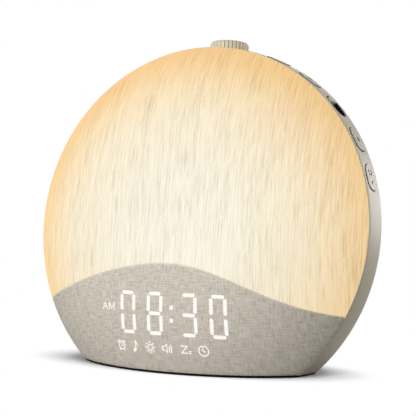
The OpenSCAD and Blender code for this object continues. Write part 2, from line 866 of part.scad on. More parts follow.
// A prism with round ends between two radii, larger than a key by grow all round
module pill(grow, x0, x1) {
    r = key_wid / 2 + grow;
    half = (key_len - key_wid) / 2;
    translate([x0, key_y, 0]) rotate([0, 90, 0]) linear_extrude(x1 - x0) {
        square([2 * half, 2 * r], center = true);
        for (s = [-1, 1]) translate([s * half, 0]) circle(r, $fn = 64);
    }
}

// Radius of the ring's outer surface at the middle of the keys
function key_face_x() = ring_cx + sqrt(pow(ring_bulge_r, 2) - pow(key_y - ring_cy, 2));

// A band of the body between two radii
module band(r0, r1) {
    around_axis() translate([r0, 0]) square([r1 - r0, ring_w]);
}

module key(i) {
    color(champagne) leaning() {
        intersection() {
            at_key(i) pill(0, flange_low, past_ring);
            around_axis() difference() {
                ring_profile(key_proud);
                square([flange_low, ring_w]);
            }
        }
        intersection() {
            at_key(i) pill(key_flange, flange_low - 3, face_r);
            band(flange_low, flange_top);
        }
    }
}

module switch_plunger(i) {
    low = switch_low + 0.8 + key_travel;
    color(satin_black) leaning() at_key(i)
        translate([low, key_y, 0]) rotate([0, 90, 0])
            cylinder(r = plunger_r, h = flange_low - seat_gap - low, $fn = 32);
}

// The four controls that are push keys; the third place holds the slide switch
key_places = [0, 1, 3, 4];
slide_place = 2;

module key_board() {
    r0 = key_wall_r + seat_gap;
    color(board_green) leaning() intersection() {
        sector(sector_low + 1, sector_high - 1);
        difference() {
            bar_y(r0 + key_sheet_t, 0, 0, plate_y + 1, ring_w - lip_t - 1, 180);
            bar_y(r0, 0, 0, 0, ring_w, 180);
        }
    }
}

module key_switches() {
    half = switch_side / 2;
    color(satin_black) leaning() for (i = key_places) at_key(i) difference() {
        block([switch_low, key_y - half, -half], [switch_low + switch_t, key_y + half, half]);
        translate([switch_low + 0.5, key_y, 0]) rotate([0, 90, 0])
            cylinder(r = plunger_r + 0.2, h = switch_t, $fn = 32);
    }
}

// ---------------------------------------------------------------- slide switch

// Black cup in the ring's opening, with the slot that the lever runs in
module slide_bezel() {
    slot = lever_side / 2 + 0.5;
    color(satin_black) leaning() difference() {
        union() {
            intersection() {
                at_key(slide_place) pill(cup_out, flange_low, past_ring);
                around_axis() ring_profile(-cup_set_back);
            }
            intersection() {
                at_key(slide_place) pill(key_flange, flange_low - 3, face_r);
                band(flange_low, flange_top);
            }
        }
        at_key(slide_place) pill(cup_in, well_low, past_ring + 1);
        at_key(slide_place) block([flange_low - 3, key_y - slot, nub_mid - nub_travel - slot],
                                  [face_r, key_y + slot, nub_mid + slot]);
    }
}

module slide_case() {
    low = switch_low;
    top = low + 3.5;
    mid = nub_mid - nub_travel / 2;
    half = nub_travel / 2 + lever_side + 2;
    slot = lever_side / 2 + 0.4;
    color(steel) leaning() at_key(slide_place) difference() {
        block([low, key_y - 2.4, mid - half], [top, key_y + 2.4, mid + half]);
        block([low + 1, key_y - slot, mid - nub_travel / 2 - slot],
              [top + 1, key_y + slot, mid + nub_travel / 2 + slot]);
    }
}

// Grip that follows the ring, and the lever that moves the switch inside
module slide_nub() {
    half = lever_side / 2;
    grip_low = well_low + run_gap;
    color(champagne) leaning() {
        intersection() {
            at_key(slide_place) intersection() {
                pill(nub_side, grip_low, past_ring);
                block([grip_low, 0, nub_top - nub_len], [past_ring, ring_w, nub_top + 1]);
            }
            around_axis() ring_profile(key_proud);
        }
        at_key(slide_place) block([switch_low + 1.6, key_y - half, nub_mid - half],
                                  [grip_low + 0.5, key_y + half, nub_mid + half]);
    }
}

// ---------------------------------------------------------------- power inlet

module power_inlet() {
    floor_y = back_y - inlet_depth;
    color(satin_black) leaning() difference() {
        union() {
            bar_y(inlet_d / 2 - 1.6, inlet_x, inlet_z, floor_y - inlet_wall - 8, floor_y, 48);
            bar_y(inlet_d / 2 + 1, inlet_x, inlet_z, floor_y - inlet_wall - 3,
                  cover_face - inlet_depth, 48);
        }
        bar_y(socket_d / 2, inlet_x, inlet_z, floor_y - 9, floor_y + 1, 32);
    }
}

module inlet_pin() {
    floor_y = back_y - inlet_depth;
    color(steel) leaning() bar_y(1, inlet_x, inlet_z, floor_y - 9, floor_y - 0.8, 24);
}

// ---------------------------------------------------------------- pieces drawn

front_diffuser();
display_cover();
side_ring();
rear_cover();
base_pad();
chassis();
light_board();
light_leds();
reflector();
light_divider();
display_guide();
display_board();
display_leds();
main_board();
main_parts();
cell_holder();
backup_cell();
board_screws();
cover_screws();
speaker_grille();
speaker_gasket();
speaker_frame();
speaker_cone();
speaker_magnet();
speaker_screws();
encoder_body();
encoder_nut();
encoder_board();
encoder_plunger();
encoder_shaft();
knob();
key(key_places[0]);  // key_1
key(key_places[1]);  // key_2
key(key_places[2]);  // key_3
key(key_places[3]);  // key_4
key_board();
key_switches();
switch_plunger(key_places[0]);  // switch_plunger_1
switch_plunger(key_places[1]);  // switch_plunger_2
switch_plunger(key_places[2]);  // switch_plunger_3
switch_plunger(key_places[3]);  // switch_plunger_4
slide_bezel();
slide_case();
slide_nub();
power_inlet();
inlet_pin();
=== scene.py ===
"""Sunrise alarm clock: its looks, built around the fixed frame. Sizes are millimetres in the
leaning body frame (origin at the centre of the face edge, X right, Y back, Z up the face)."""

import math

import bmesh
import bpy
from mathutils import Matrix, Vector
from mathutils.geometry import delaunay_2d_cdt


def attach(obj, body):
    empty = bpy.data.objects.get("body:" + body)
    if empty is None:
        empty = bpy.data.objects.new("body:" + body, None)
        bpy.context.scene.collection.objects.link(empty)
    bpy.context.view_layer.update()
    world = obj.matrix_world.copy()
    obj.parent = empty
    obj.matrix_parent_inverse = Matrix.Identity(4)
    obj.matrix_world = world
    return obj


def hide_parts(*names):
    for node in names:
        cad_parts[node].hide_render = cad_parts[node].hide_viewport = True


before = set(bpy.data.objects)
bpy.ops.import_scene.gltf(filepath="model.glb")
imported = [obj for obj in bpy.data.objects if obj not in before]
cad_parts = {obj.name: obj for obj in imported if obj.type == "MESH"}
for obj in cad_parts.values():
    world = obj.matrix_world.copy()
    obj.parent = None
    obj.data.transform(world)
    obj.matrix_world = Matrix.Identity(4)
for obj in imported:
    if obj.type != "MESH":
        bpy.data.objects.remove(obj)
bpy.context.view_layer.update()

# ---------------------------------------------------------------- sizes

MM = 0.001

# Dome: radius of its edge, height, crown and shoulder arcs, wall, and round of its cut edges
FACE_R = 95.0
DOME_H = 33.0
CROWN_R = 645.0
SHOULDER_R = 73.3
DOME_WALL = 2.4
EDGE_ROUND = 0.35

# Stance: the body leans back, and is cut off flat on a pad, this far below the face's centre
LEAN = math.radians(7.38)
BASE_DROP = 71.2
PAD_T = 1.2
FACE_Z = PAD_T + BASE_DROP

# Wave between lamp and display: its crest, its fall, its run to each side, and the gap along it
CREST_X = 2.0
CREST_Z = -21.0
WAVE_DROP = 21.2
WAVE_LEFT = 107.0
WAVE_RIGHT = 88.0
WAVE_GAP = 0.04

# Ring: width, flare and bulge of its outside, round of its rear edge, its inside and its rear lip
RING_W = 15.2
RING_FLARE = 1.1
RING_BULGE_R = 85.0
RING_ROUND = 0.7
RING_IN = FACE_R - 2.0
LIP_IN = FACE_R - 6.6
LIP_T = 1.6

# Controls: five pill-shaped openings along the ring, in degrees up from the right
KEY_FIRST = 16.3
KEY_PITCH = 12.4
CONTROL_PLACES = range(5)
SLIDE_PLACE = 2
KEY_PLACES = [place for place in CONTROL_PLACES if place != SLIDE_PLACE]
KEY_LEN = 13.6
KEY_WID = 9.0
KEY_RUN = (KEY_LEN - KEY_WID) / 2
KEY_Y = 7.1
KEY_GAP = 0.35
KEY_PROUD = 0.3
KEY_DEPTH = 2.3
CAP_LOW = 0.24
CAP_CROWN = 0.04
MARK_STROKE = 0.5
MARK_LIFT = 0.03
NUB_LEN = 3.4
NUB_SIDE = KEY_GAP - 1.0
NUB_DEPTH = 1.9

# Rear cover: its step in from the face edge, its back and the round of its rim
COVER_R = FACE_R - 4
BACK_Y = RING_W + 29
COVER_ROUND = 26.0

# Knob: it turns on a flat seat on top of the cover, over the travel that it is pushed in
KNOB_D = 21.0
KNOB_H = 10.3
KNOB_EDGE = 1.3
KNOB_Y = 27.5
KNOB_SEAT = 0.8
KNOB_TRAVEL = 0.5
KNOB_GAP = 0.5
KNOB_LOW = COVER_R + KNOB_SEAT + KNOB_TRAVEL + KNOB_GAP
FLUTES = 30
FLUTE_DEPTH = 0.7
FLUTE_PHASE = math.radians(-4.8)
KNOB_SHARP = math.radians(50)

# Dome: a crown arc and a shoulder arc that is tangent to it and ends on the face edge
CROWN_C = CROWN_R - DOME_H
SHOULDER_K = (FACE_R ** 2 + DOME_H ** 2 - 2 * CROWN_R * (DOME_H - SHOULDER_R)) / (2 * SHOULDER_R)
SHOULDER_TURN = math.atan2(CROWN_C, FACE_R) - math.acos(SHOULDER_K / math.hypot(FACE_R, CROWN_C))
SHOULDER_X = FACE_R - SHOULDER_R * math.cos(SHOULDER_TURN)
SHOULDER_Y = SHOULDER_R * math.sin(SHOULDER_TURN)
JOIN_R = CROWN_R * math.sin(math.atan(SHOULDER_X / (CROWN_C - SHOULDER_Y)))

# Ring: centre of its bulging outer arc
RING_CHORD = math.hypot(RING_FLARE, RING_W)
RING_RISE = math.sqrt(RING_BULGE_R ** 2 - (RING_CHORD / 2) ** 2)
RING_CX = FACE_R + RING_FLARE / 2 - RING_W / RING_CHORD * RING_RISE
RING_CY = RING_W / 2 + RING_FLARE / RING_CHORD * RING_RISE

# The whole clock is centred on its footprint
FRONT_REACH = SHOULDER_Y * math.cos(LEAN) - SHOULDER_X * math.sin(LEAN) - SHOULDER_R
REAR_REACH = ((BACK_Y - COVER_ROUND) * math.cos(LEAN) + (COVER_R - COVER_ROUND) * math.sin(LEAN)
              + COVER_ROUND)
FACE_Y = -(FRONT_REACH + REAR_REACH) / 2
# From the leaning body frame in millimetres to the shared frame in metres
TO_FRAME = (Matrix.Scale(MM, 4) @ Matrix.Translation((0, FACE_Y, FACE_Z))
            @ Matrix.Rotation(-LEAN, 4, "X"))

# Display: the time's digits, made of bars that leave small gaps at their corners
DIGITS = "0830"
DIGIT_X = [-18.9, -3.3, 15.5, 30.9]
DIGIT_Z = -45.7
DIGIT_HALF_W = 4.45
DIGIT_HALF_H = 10.6
STROKE = 1.8
FLAT_GAP = 0.3
TALL_GAP = 0.9
# Its colon, letters and row of pictograms
COLON_X = 6.1
COLON_Z = (-42.5, -48.8)
COLON_HALF = 0.95
LETTERS_AT = (-31.1, -43.2)
ICON_X = [-24.9, -16.3, -7.2, 2.8, 12.5, 21.9]
ICON_Z = -62.6
THIN_STROKE = 0.55
# Lit figures and marks stand proud of their surface and are sunk into it
PROUD = 0.05
SUNK = 0.3


# ---------------------------------------------------------------- form of the shells

# A radius or an angle is found by halving its range this many times
HALVINGS = 50


def dome_normal(r):
    """Angle of the dome's normal from the front, at radius r."""
    if r <= JOIN_R:
        return math.asin(r / CROWN_R)
    return math.asin((r - SHOULDER_X) / SHOULDER_R)


def dome_y(r):
    """Y of the dome's outer surface, at radius r."""
    if r <= JOIN_R:
        return CROWN_C - math.sqrt(CROWN_R ** 2 - r ** 2)
    return SHOULDER_Y - math.sqrt(SHOULDER_R ** 2 - (r - SHOULDER_X) ** 2)


def dome_at(r, angle, depth):
    """Point under the dome's surface at a depth along its normal, where r is met on the surface."""
    lean_out = dome_normal(r)
    radius = r - depth * math.sin(lean_out)
    return (radius * math.cos(angle), dome_y(r) + depth * math.cos(lean_out),
            radius * math.sin(angle))


def ring_radius(y):
    """Radius of the ring's outer surface, at y behind the face edge."""
    return RING_CX + math.sqrt(RING_BULGE_R ** 2 - (y - RING_CY) ** 2)


def wave_z(x):
    """Height of the wave's edge at x."""
    span = WAVE_LEFT if x < CREST_X else WAVE_RIGHT
    return CREST_Z - WAVE_DROP / 2 * (1 - math.cos(math.pi * (x - CREST_X) / span))


def floor_z(y):
    """Height in the body frame at which the shells are cut off flat, at y."""
    return (y * math.sin(LEAN) - BASE_DROP) / math.cos(LEAN)


def first_radius(past):
    """Smallest radius along a ray at which past(r) turns true, up to the face edge."""
    low, high = 0.0, FACE_R
    if not past(high):
        return FACE_R
    for _ in range(HALVINGS):
        mid = (low + high) / 2
        low, high = (low, mid) if past(mid) else (mid, high)
    return high


def wave_radius(angle):
    """Radius at which a ray from the centre meets the wave's edge."""
    return first_radius(lambda r: r * math.sin(angle) < wave_z(r * math.cos(angle)))


def floor_radius(angle):
    """Radius at which a ray from the centre meets the flat foot."""
    return first_radius(lambda r: r * math.sin(angle) < floor_z(dome_y(r)))


# ---------------------------------------------------------------- making pieces

# In metres: points closer than this become one, and edges shorter than this go
WELD = 2e-6
SLIVER = 1e-7
# Edges that turn more sharply than this are shaded as edges
SHARP = math.radians(35)


def make_mesh(name, verts, faces, finish, place=TO_FRAME):
    """A clean, closed mesh object with smooth shading up to the sharp angle."""
    mesh = bpy.data.meshes.new(name)
    mesh.from_pydata([place @ Vector(v) for v in verts], [], faces)
    work = bmesh.new()
    work.from_mesh(mesh)
    bmesh.ops.remove_doubles(work, verts=work.verts, dist=WELD)
    bmesh.ops.dissolve_degenerate(work, edges=work.edges, dist=SLIVER)
    bmesh.ops.recalc_face_normals(work, faces=work.faces)
    work.to_mesh(mesh)
    work.free()
    mesh.shade_smooth()
    mesh.set_sharp_from_angle(angle=SHARP)
    mesh.materials.append(finish)
    thing = bpy.data.objects.new(name, mesh)
    bpy.context.scene.collection.objects.link(thing)
    return thing


def declare(thing, body, slot, *nodes):
    """Makes a finished piece ride on its body and stand for its nodes."""
    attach(thing, body)
    if nodes:
        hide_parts(*nodes)


def strip(count_a, count_b, wrap_a=False, wrap_b=False, first=0):
    """Quads of a grid with count_a rows of count_b vertices."""
    faces = []
    for a in range(count_a if wrap_a else count_a - 1):
        for b in range(count_b if wrap_b else count_b - 1):
            a2, b2 = (a + 1) % count_a, (b + 1) % count_b
            faces.append((first + a * count_b + b, first + a * count_b + b2,
                          first + a2 * count_b + b2, first + a2 * count_b + b))
    return faces


def end_caps(count, total):
    """The two end faces of a run of sections with count vertices each, and total in all."""
    return [tuple(range(count)), tuple(range(total - 1, total - count - 1, -1))]


def spread(low, high, steps):
    """Even steps from low to high, both included."""
    return [low + (high - low) * i / steps for i in range(steps + 1)]


# ---------------------------------------------------------------- the two dome shells

def shell_loop(inner, outer, steps):
    """Closed section of a shell between two radii: (radius, depth), with rounded outer edges."""
    edge = min(EDGE_ROUND, (outer - inner) / 4)
    corner = 0.3 * edge
    low, high = (inner + edge if inner > 0 else 0.0), outer - edge
    loop = [(r, 0.0) for r in spread(low, high, steps)]
    loop += [(outer - corner, corner), (outer, edge), (outer, DOME_WALL)]
    loop += [(r, DOME_WALL) for r in spread(high, low, steps)]
    loop += [(inner, DOME_WALL), (inner, edge), (inner + corner if inner > 0 else 0.0, corner)]
    return loop


def wave_crossings():
    """Angles at which the wave's edge meets the face edge, on the right and on the left."""
    found = []
    for inside, outside in ((-math.pi / 2, 0.0), (-math.pi / 2, -math.pi)):
        for _ in range(HALVINGS):
            mid = (inside + outside) / 2
            if wave_radius(mid) < FACE_R:
                inside = mid
            else:
                outside = mid
        found.append(outside)
    return found


def lamp_dome(finish):
    """Upper shell, from the middle of the face out to the wave and round the face edge."""
    right, left = wave_crossings()
    along_wave, round_edge, across = 150, 270, 36
    angles = spread(left, right, along_wave)[:-1]
    angles += spread(right, left + 2 * math.pi, round_edge)[:-1]
    verts = []
    for angle in angles:
        outer = wave_radius(angle) - WAVE_GAP / 2
        verts += [dome_at(r, angle, depth) for r, depth in shell_loop(0.0, outer, across)]
    count = len(verts) // len(angles)
    faces = strip(len(angles), count, wrap_a=True, wrap_b=True)
    return make_mesh("lamp_dome", verts, faces, finish)


def display_panel(finish):
    """Lower shell, from the wave down to the face edge and the flat foot."""
    right, left = wave_crossings()
    corner = math.asin(floor_z(0.0) / FACE_R)
    along_side, along_foot, across = 40, 120, 30
    thinnest = 0.05
    angles = spread(left, -math.pi - corner, along_side)[:-1]
    angles += spread(-math.pi - corner, corner, along_foot)[:-1]
    angles += spread(corner, right, along_side)
    # at the wave's two ends the shell has no width
    angles = angles[1:-1]
    verts = []
    for angle in angles:
        inner = wave_radius(angle) + WAVE_GAP / 2
        outer = max(floor_radius(angle), inner + thinnest)
        verts += [dome_at(r, angle, depth) for r, depth in shell_loop(inner, outer, across)]
    count = len(verts) // len(angles)
    faces = strip(len(angles), count, wrap_b=True) + end_caps(count, len(verts))
    return make_mesh("display_panel", verts, faces, finish)


# ---------------------------------------------------------------- ring and keys

def key_angle(place):
    """Angle up the ring of the middle of a control."""
    return math.radians(KEY_FIRST + KEY_PITCH * place)


def pill(corner_steps=12, side_steps=8):
    """Outline of a control as (spine, direction along, direction across)."""
    points = []
    for end in (1, -1):
        for i in range(corner_steps):
            a = math.pi * (i / corner_steps - end / 2)
            points.append((end * KEY_RUN, math.cos(a), math.sin(a)))
        side = spread(end * KEY_RUN, -end * KEY_RUN, side_steps)[:-1]
        points += [(spine, 0.0, end) for spine in side]
    return points


def pill_loop(place, offset):
    """Outline of a control, moved out by an offset, as (distance along the ring, y)."""
    centre = key_angle(place) * FACE_R
    wide = KEY_WID / 2 + offset
    return [(centre + spine + along * wide, KEY_Y + across * wide)
            for spine, along, across in pill()]


def in_pill(point, place, offset):
    """Whether a point is inside a control's outline, moved out by an offset."""
    centre = key_angle(place) * FACE_R
    along = max(abs(point[0] - centre) - KEY_RUN, 0.0)
    return math.hypot(along, point[1] - KEY_Y) < KEY_WID / 2 + offset


def triangulate(points, loops):
    """Triangles over loose points and closed outlines. Returns the points and the triangles."""
    points = [Vector(p) for p in points]
    edges = []
    for loop in loops:
        first = len(points)
        points += [Vector(p) for p in loop]
        edges += [(first + i, first + (i + 1) % len(loop)) for i in range(len(loop))]
    found, _, triangles, _, _, _ = delaunay_2d_cdt(points, edges, [], 0, 1e-6)
    return [tuple(p) for p in found], triangles


def on_ring(point, radius):
    """Point at a distance along the ring and a y, at a radius from the axis."""
    angle = point[0] / FACE_R
    return (radius * math.cos(angle), point[1], radius * math.sin(angle))


# Rounded mouth of each opening: (offset from the control's outline, height over the ring)
MOUTH = [(0.5, 0.0), (0.43, -0.02), (0.38, -0.07), (KEY_GAP, -0.18)]
MOUTH_OUT = MOUTH[0][0]
# Band of the ring that holds the openings: its two y, its margin up the ring, and its grid
BAND = (0.4, 13.25)
BAND_MARGIN = math.radians(7.5)
BAND_STEPS = 10
BAND_TURN_STEPS = 32
# Loose points of a triangulated face keep this clear of its outlines
POINT_MARGIN = 0.35


def ring_section():
    """Closed section of the ring as (y, radius), with the outer band and the inner band first."""
    outer = [(y, ring_radius(y)) for y in spread(BAND[0], BAND[1], BAND_STEPS)]
    edge = [(y, ring_radius(y)) for y in spread(BAND[1], RING_W - RING_ROUND, 2)[1:]]
    corner = ring_radius(RING_W)
    for a in spread(0.0, math.pi / 2, 4)[1:]:
        edge.append((RING_W - RING_ROUND * (1 - math.sin(a)),
                     corner - RING_ROUND * (1 - math.cos(a))))
    lip = [(RING_W, LIP_IN), (RING_W - LIP_T, LIP_IN), (RING_W - LIP_T, RING_IN)]
    inner = [(y, RING_IN) for y in spread(BAND[1], BAND[0], BAND_STEPS)]
    bevel = 0.12
    front = [(0.0, RING_IN), (0.0, ring_radius(0) - BAND[0]), (bevel, ring_radius(bevel) - bevel)]
    return outer, edge + lip, inner, front


def painted_ring(finish):
    """Ring with five openings on its right, cut off flat at the foot."""
    outer, rear, inner, front = ring_section()
    section = outer + rear + inner + front
    low, high = key_angle(0) - BAND_MARGIN, key_angle(CONTROL_PLACES[-1]) + BAND_MARGIN
    cuts = [math.asin(floor_z(y) / radius) for y, radius in section]
    # from the foot up to the band, along the band, and over the top down to the foot
    turns = [(None, low, 30), (low, high, BAND_TURN_STEPS), (high, None, 84)]
    verts, faces = [], []
    for start, end, steps in turns:
        first = len(verts)
        for i in range(steps + 1):
            for (y, radius), cut in zip(section, cuts):
                a = cut if start is None else start
                b = math.pi - cut if end is None else end
                angle = a + (b - a) * i / steps
                verts.append((radius * math.cos(angle), y, radius * math.sin(angle)))
        band = strip(steps + 1, len(section), wrap_b=True, first=first)
        if start is not None and end is not None:
            skip = set(range(len(outer) - 1))
            skip |= {len(outer) + len(rear) + i for i in range(len(inner) - 1)}
            band = [f for n, f in enumerate(band) if n % len(section) not in skip]
        faces += band
    faces += end_caps(len(section), len(verts))

    # the band with the five openings, outside and inside
    grid = [(a * FACE_R, y) for a in spread(low, high, BAND_TURN_STEPS)
            for y in spread(BAND[0], BAND[1], BAND_STEPS)]
    clear = MOUTH_OUT + POINT_MARGIN
    loose = [p for p in grid if not any(in_pill(p, k, clear) for k in CONTROL_PLACES)]
    loops = [pill_loop(k, MOUTH_OUT) for k in CONTROL_PLACES]
    points, triangles = triangulate(loose, loops)
    for at_radius in (ring_radius, lambda y: RING_IN):
        first = len(verts)
        verts += [on_ring(p, at_radius(p[1])) for p in points]
        for tri in triangles:
            middle = [sum(points[i][c] for i in tri) / 3 for c in (0, 1)]
            if not any(in_pill(middle, k, MOUTH_OUT - 0.02) for k in CONTROL_PLACES):
                faces.append(tuple(first + i for i in tri))
    for place in CONTROL_PLACES:
        first = len(verts)
        loops = [[on_ring(p, ring_radius(p[1]) + height) for p in pill_loop(place, offset)]
                 for offset, height in MOUTH]
        loops += [[on_ring(p, RING_IN) for p in pill_loop(place, offset)]
                  for offset in (KEY_GAP, MOUTH_OUT)]
        verts += [p for loop in loops for p in loop]
        faces += strip(len(loops), len(loops[0]), wrap_b=True, first=first)
    return make_mesh("painted_ring", verts, faces, finish)


def domed(name, place, rim, loop_at, inside, crown, finish):
    """A closed piece on the ring: stacked outlines of (offset, height) under a slightly domed top."""
    verts, faces = [], []
    for offset, height in rim:
        verts += [on_ring(p, ring_radius(p[1]) + height) for p in loop_at(place, offset)]
    count = len(verts) // len(rim)
    faces += strip(len(rim), count, wrap_b=True)
    centre = key_angle(place) * FACE_R
    top_offset, top_height = rim[-1]
    # an even grid over the whole control, of which only what is inside the outline is kept
    grid = [(centre + along, KEY_Y + across) for along in spread(-8, 8, 20)
            for across in spread(-KEY_WID / 2, KEY_WID / 2, 12)]
    loose = [p for p in grid if inside(p, place, top_offset - POINT_MARGIN)]
    points, triangles = triangulate(loose, [loop_at(place, top_offset)])
    first = len(verts)
    for p in points:
        edge = abs(p[1] - KEY_Y) / (KEY_WID / 2 + top_offset)
        verts.append(on_ring(p, ring_radius(p[1]) + top_height + crown * max(0.0, 1 - edge ** 2)))
    faces += [tuple(first + i for i in tri) for tri in triangles]
    faces.append(tuple(range(count)))
    return make_mesh(name, verts, faces, finish)


def key_cap(name, place, finish):
    """Painted cap of a key, which follows the ring, with a rounded rim."""
    rim = [(-0.3, CAP_LOW), (0.0, CAP_LOW), (-0.04, CAP_LOW + 0.05), (-0.13, KEY_PROUD - 0.01),
           (-0.4, KEY_PROUD)]
    return domed(name, place, rim, pill_loop, in_pill, CAP_CROWN, finish)


def key_body(name, place, finish):
    """Dark body under a key's cap, coloured as painted shade for the gap round the cap."""
    rim = [(0.0, -KEY_DEPTH), (0.0, CAP_LOW), (-0.02, CAP_LOW + 0.02)]
    return domed(name, place, rim, pill_loop, in_pill, 0.0, finish)


def grip_sizes(place, offset):
    """Centre of the grip's arc along the ring, its radius, and the straight lower edge from there."""
    centre = key_angle(place) * FACE_R + KEY_RUN
    wide = KEY_WID / 2 + NUB_SIDE + offset
    low = KEY_WID / 2 + NUB_SIDE - NUB_LEN - offset
    return centre, wide, low


def grip_loop(place, offset):
    """Outline of the slide's grip: the upper end of the cup, cut off straight."""
    centre, wide, low = grip_sizes(place, offset)
    turn = math.acos(low / wide)
    end = [(centre + wide * math.cos(a), KEY_Y + wide * math.sin(a)) for a in spread(-turn, turn, 28)]
    half = wide * math.sin(turn)
    return end + [(centre + low, KEY_Y + y) for y in spread(half, -half, 10)[1:-1]]


def in_grip(point, place, offset):
    """Whether a point is inside the grip's outline, moved out by an offset."""
    centre, wide, low = grip_sizes(place, offset)
    along = point[0] - centre
    return along > low and math.hypot(along, point[1] - KEY_Y) < wide


def slide_grip(finish):
    """Grip of the slide switch, with rounded edges."""
    rim = [(0.0, -NUB_DEPTH), (0.0, KEY_PROUD - 0.4), (-0.06, KEY_PROUD - 0.2),
           (-0.2, KEY_PROUD - 0.06), (-0.4, KEY_PROUD)]
    return domed("slide_grip", SLIDE_PLACE, rim, grip_loop, in_grip, 0.0, finish)


# ---------------------------------------------------------------- nodes

# Sockets that share a name go by number. A Map Range has its value at 0, its range at 1 and 2 and its
# results at 3 and 4. A Mix of colours has its share at 0 and its colours at 6 and 7.

def add(tree, kind, inputs=None, stops=None, **settings):
    """Adds a node with its settings; an input is a value or the socket that it is linked from."""
    new = tree.nodes.new(kind)
    for key, value in settings.items():
        setattr(new, key, value)
    for key, value in (inputs or {}).items():
        if isinstance(value, bpy.types.NodeSocket):
            tree.links.new(value, new.inputs[key])
        else:
            new.inputs[key].default_value = value
    if stops:
        ramp = new.color_ramp
        while len(ramp.elements) < len(stops):
            ramp.elements.new(1.0)
        for element, (at, colour) in zip(ramp.elements, stops):
            element.position = at
            element.color = colour
    return new


def linear(code):
    """An sRGB hex colour as linear numbers."""
    parts = [int(code[i:i + 2], 16) / 255 for i in (1, 3, 5)]
    return (*[c / 12.92 if c <= 0.04045 else ((c + 0.055) / 1.055) ** 2.4 for c in parts], 1.0)


def grey(level):
    """An even grey of a given linear level."""
    return (level, level, level, 1.0)


def emptied(owner):
    """The node tree of a new material or world, with nothing in it yet."""
    owner.use_nodes = True
    owner.node_tree.nodes.clear()
    return owner.node_tree


def new_material(name, **inputs):
    """A material with one Principled shader. Returns the material, its tree and the shader."""
    mat = bpy.data.materials.new(name)
    tree = emptied(mat)
    values = {key.replace("_", " "): value for key, value in inputs.items()}
    shader = add(tree, "ShaderNodeBsdfPrincipled", values)
    add(tree, "ShaderNodeOutputMaterial", {"Surface": shader.outputs[0]})
    return mat, tree, shader


def body_mm(tree):
    """Coordinates in the leaning body frame, in millimetres."""
    at = add(tree, "ShaderNodeTexCoord")
    place = add(tree, "ShaderNodeMapping", {
        "Vector": at.outputs["Object"], "Location": (0, FACE_Y * MM, FACE_Z * MM),
        "Rotation": (-LEAN, 0, 0), "Scale": (MM, MM, MM)}, vector_type="TEXTURE")
    return place.outputs[0]


def over_wave(tree, xyz):
    """Height above the wave's edge, in millimetres."""
    x, z = xyz.outputs[0], xyz.outputs[2]
    side = add(tree, "ShaderNodeMath", {0: x, 1: CREST_X}, operation="LESS_THAN")
    span = add(tree, "ShaderNodeMapRange", {0: side.outputs[0], 3: WAVE_RIGHT, 4: WAVE_LEFT})
    run = add(tree, "ShaderNodeMath", {0: x, 1: CREST_X}, operation="SUBTRACT")
    turn = add(tree, "ShaderNodeMath", {0: run.outputs[0], 1: span.outputs[0]}, operation="DIVIDE")
    angle = add(tree, "ShaderNodeMath", {0: turn.outputs[0], 1: math.pi}, operation="MULTIPLY")
    cosine = add(tree, "ShaderNodeMath", {0: angle.outputs[0]}, operation="COSINE")
    edge = add(tree, "ShaderNodeMath", {0: cosine.outputs[0], 1: WAVE_DROP / 2,
                                        2: CREST_Z - WAVE_DROP / 2}, operation="MULTIPLY_ADD")
    return add(tree, "ShaderNodeMath", {0: z, 1: edge.outputs[0]}, operation="SUBTRACT").outputs[0]


def streaks(tree, at, width, length, seed, detail=2.0):
    """Noise drawn out up the face, with a typical width and length in millimetres."""
    stretch = add(tree, "ShaderNodeMapping", {
        "Vector": at, "Location": (seed, 0, seed), "Scale": (1 / width, 0, 1 / length)})
    return add(tree, "ShaderNodeTexNoise", {
        "Vector": stretch.outputs[0], "Scale": 1.0, "Detail": detail, "Roughness": 0.6}).outputs[0]


# Lamp: its light falls off round a centre, to these colours at shares of its reach
GLOW_CENTRE = (6.0, 0.0, -7.5)
GLOW_REACH = 103.6
GLOW = [(0.0, "#f7f3e6"), (0.4, "#f6f0db"), (0.6, "#f9ecd0"), (0.75, "#fae3bb"), (0.9, "#f8d397"),
        (1.0, "#f6ca8b")]
LAMP_LEVEL = 0.86
# Opal under the lamp: the share of the lamp's glow painted into its own colour, a painted glow that
# daylight also finds in it
PAINTED_GLOW_SHARE = 0.18
# Oak print: colour of its ink, how dark each kind of figure prints, and its slant on the dome
OAK_INK = "#cec2af"
PORE_INK = 0.62
VEIN_INK = 0.22
TOOTH_INK = 0.5
GRAIN_DRAPE = 0.18
# Where lamp and cloth meet: how far each fades into the other, in millimetres, and how much
LAMP_FADE = 0.7
LAMP_FADE_SHARE = 0.4
CLOTH_SPILL = 1.1
CLOTH_SPILL_LEVEL = 0.25
EDGE_GLOW = "#a89e8b"
# Cloth: its even tone, its darkest and palest threads, and the pitch of its threads
PANEL_TONE = "#cfc7ba"
THREAD_DARK = "#7e766a"
THREAD_PALE = "#e6dfd5"
THREAD_PITCH = 1.15
# A thread's slubs: thickness and length of a thicker stretch
SLUB = (0.5, 5.0)
# Height of the relief on printed and woven film
FILM_RELIEF = 0.04 * MM
# Lit figures: their tones over the weave's hollows and threads, how bright they are, and unlit tone
FIGURE_DIM = "#e9e5da"
FIGURE_BRIGHT = "#fbf9f2"
FIGURE_LEVEL = 0.9
FIGURE_UNLIT = 0.12
# Gloss of a moulded or painted finish goes up and down by this much from grain to grain
GLOSS_SPREAD = 0.06


def lamp_glow(tree, at):
    """Light of the lamp behind the dome, near white at its centre and warm at the rim."""
    flat = add(tree, "ShaderNodeVectorMath", {0: at, 1: (1, 0, 1)}, operation="MULTIPLY")
    away = add(tree, "ShaderNodeVectorMath", {0: flat.outputs[0], 1: GLOW_CENTRE},
               operation="DISTANCE")
    share = add(tree, "ShaderNodeMath", {0: away.outputs["Value"], 1: GLOW_REACH},
                operation="DIVIDE")
    return add(tree, "ShaderNodeValToRGB", {0: share.outputs[0]},
               stops=[(place, linear(code)) for place, code in GLOW]).outputs[0]


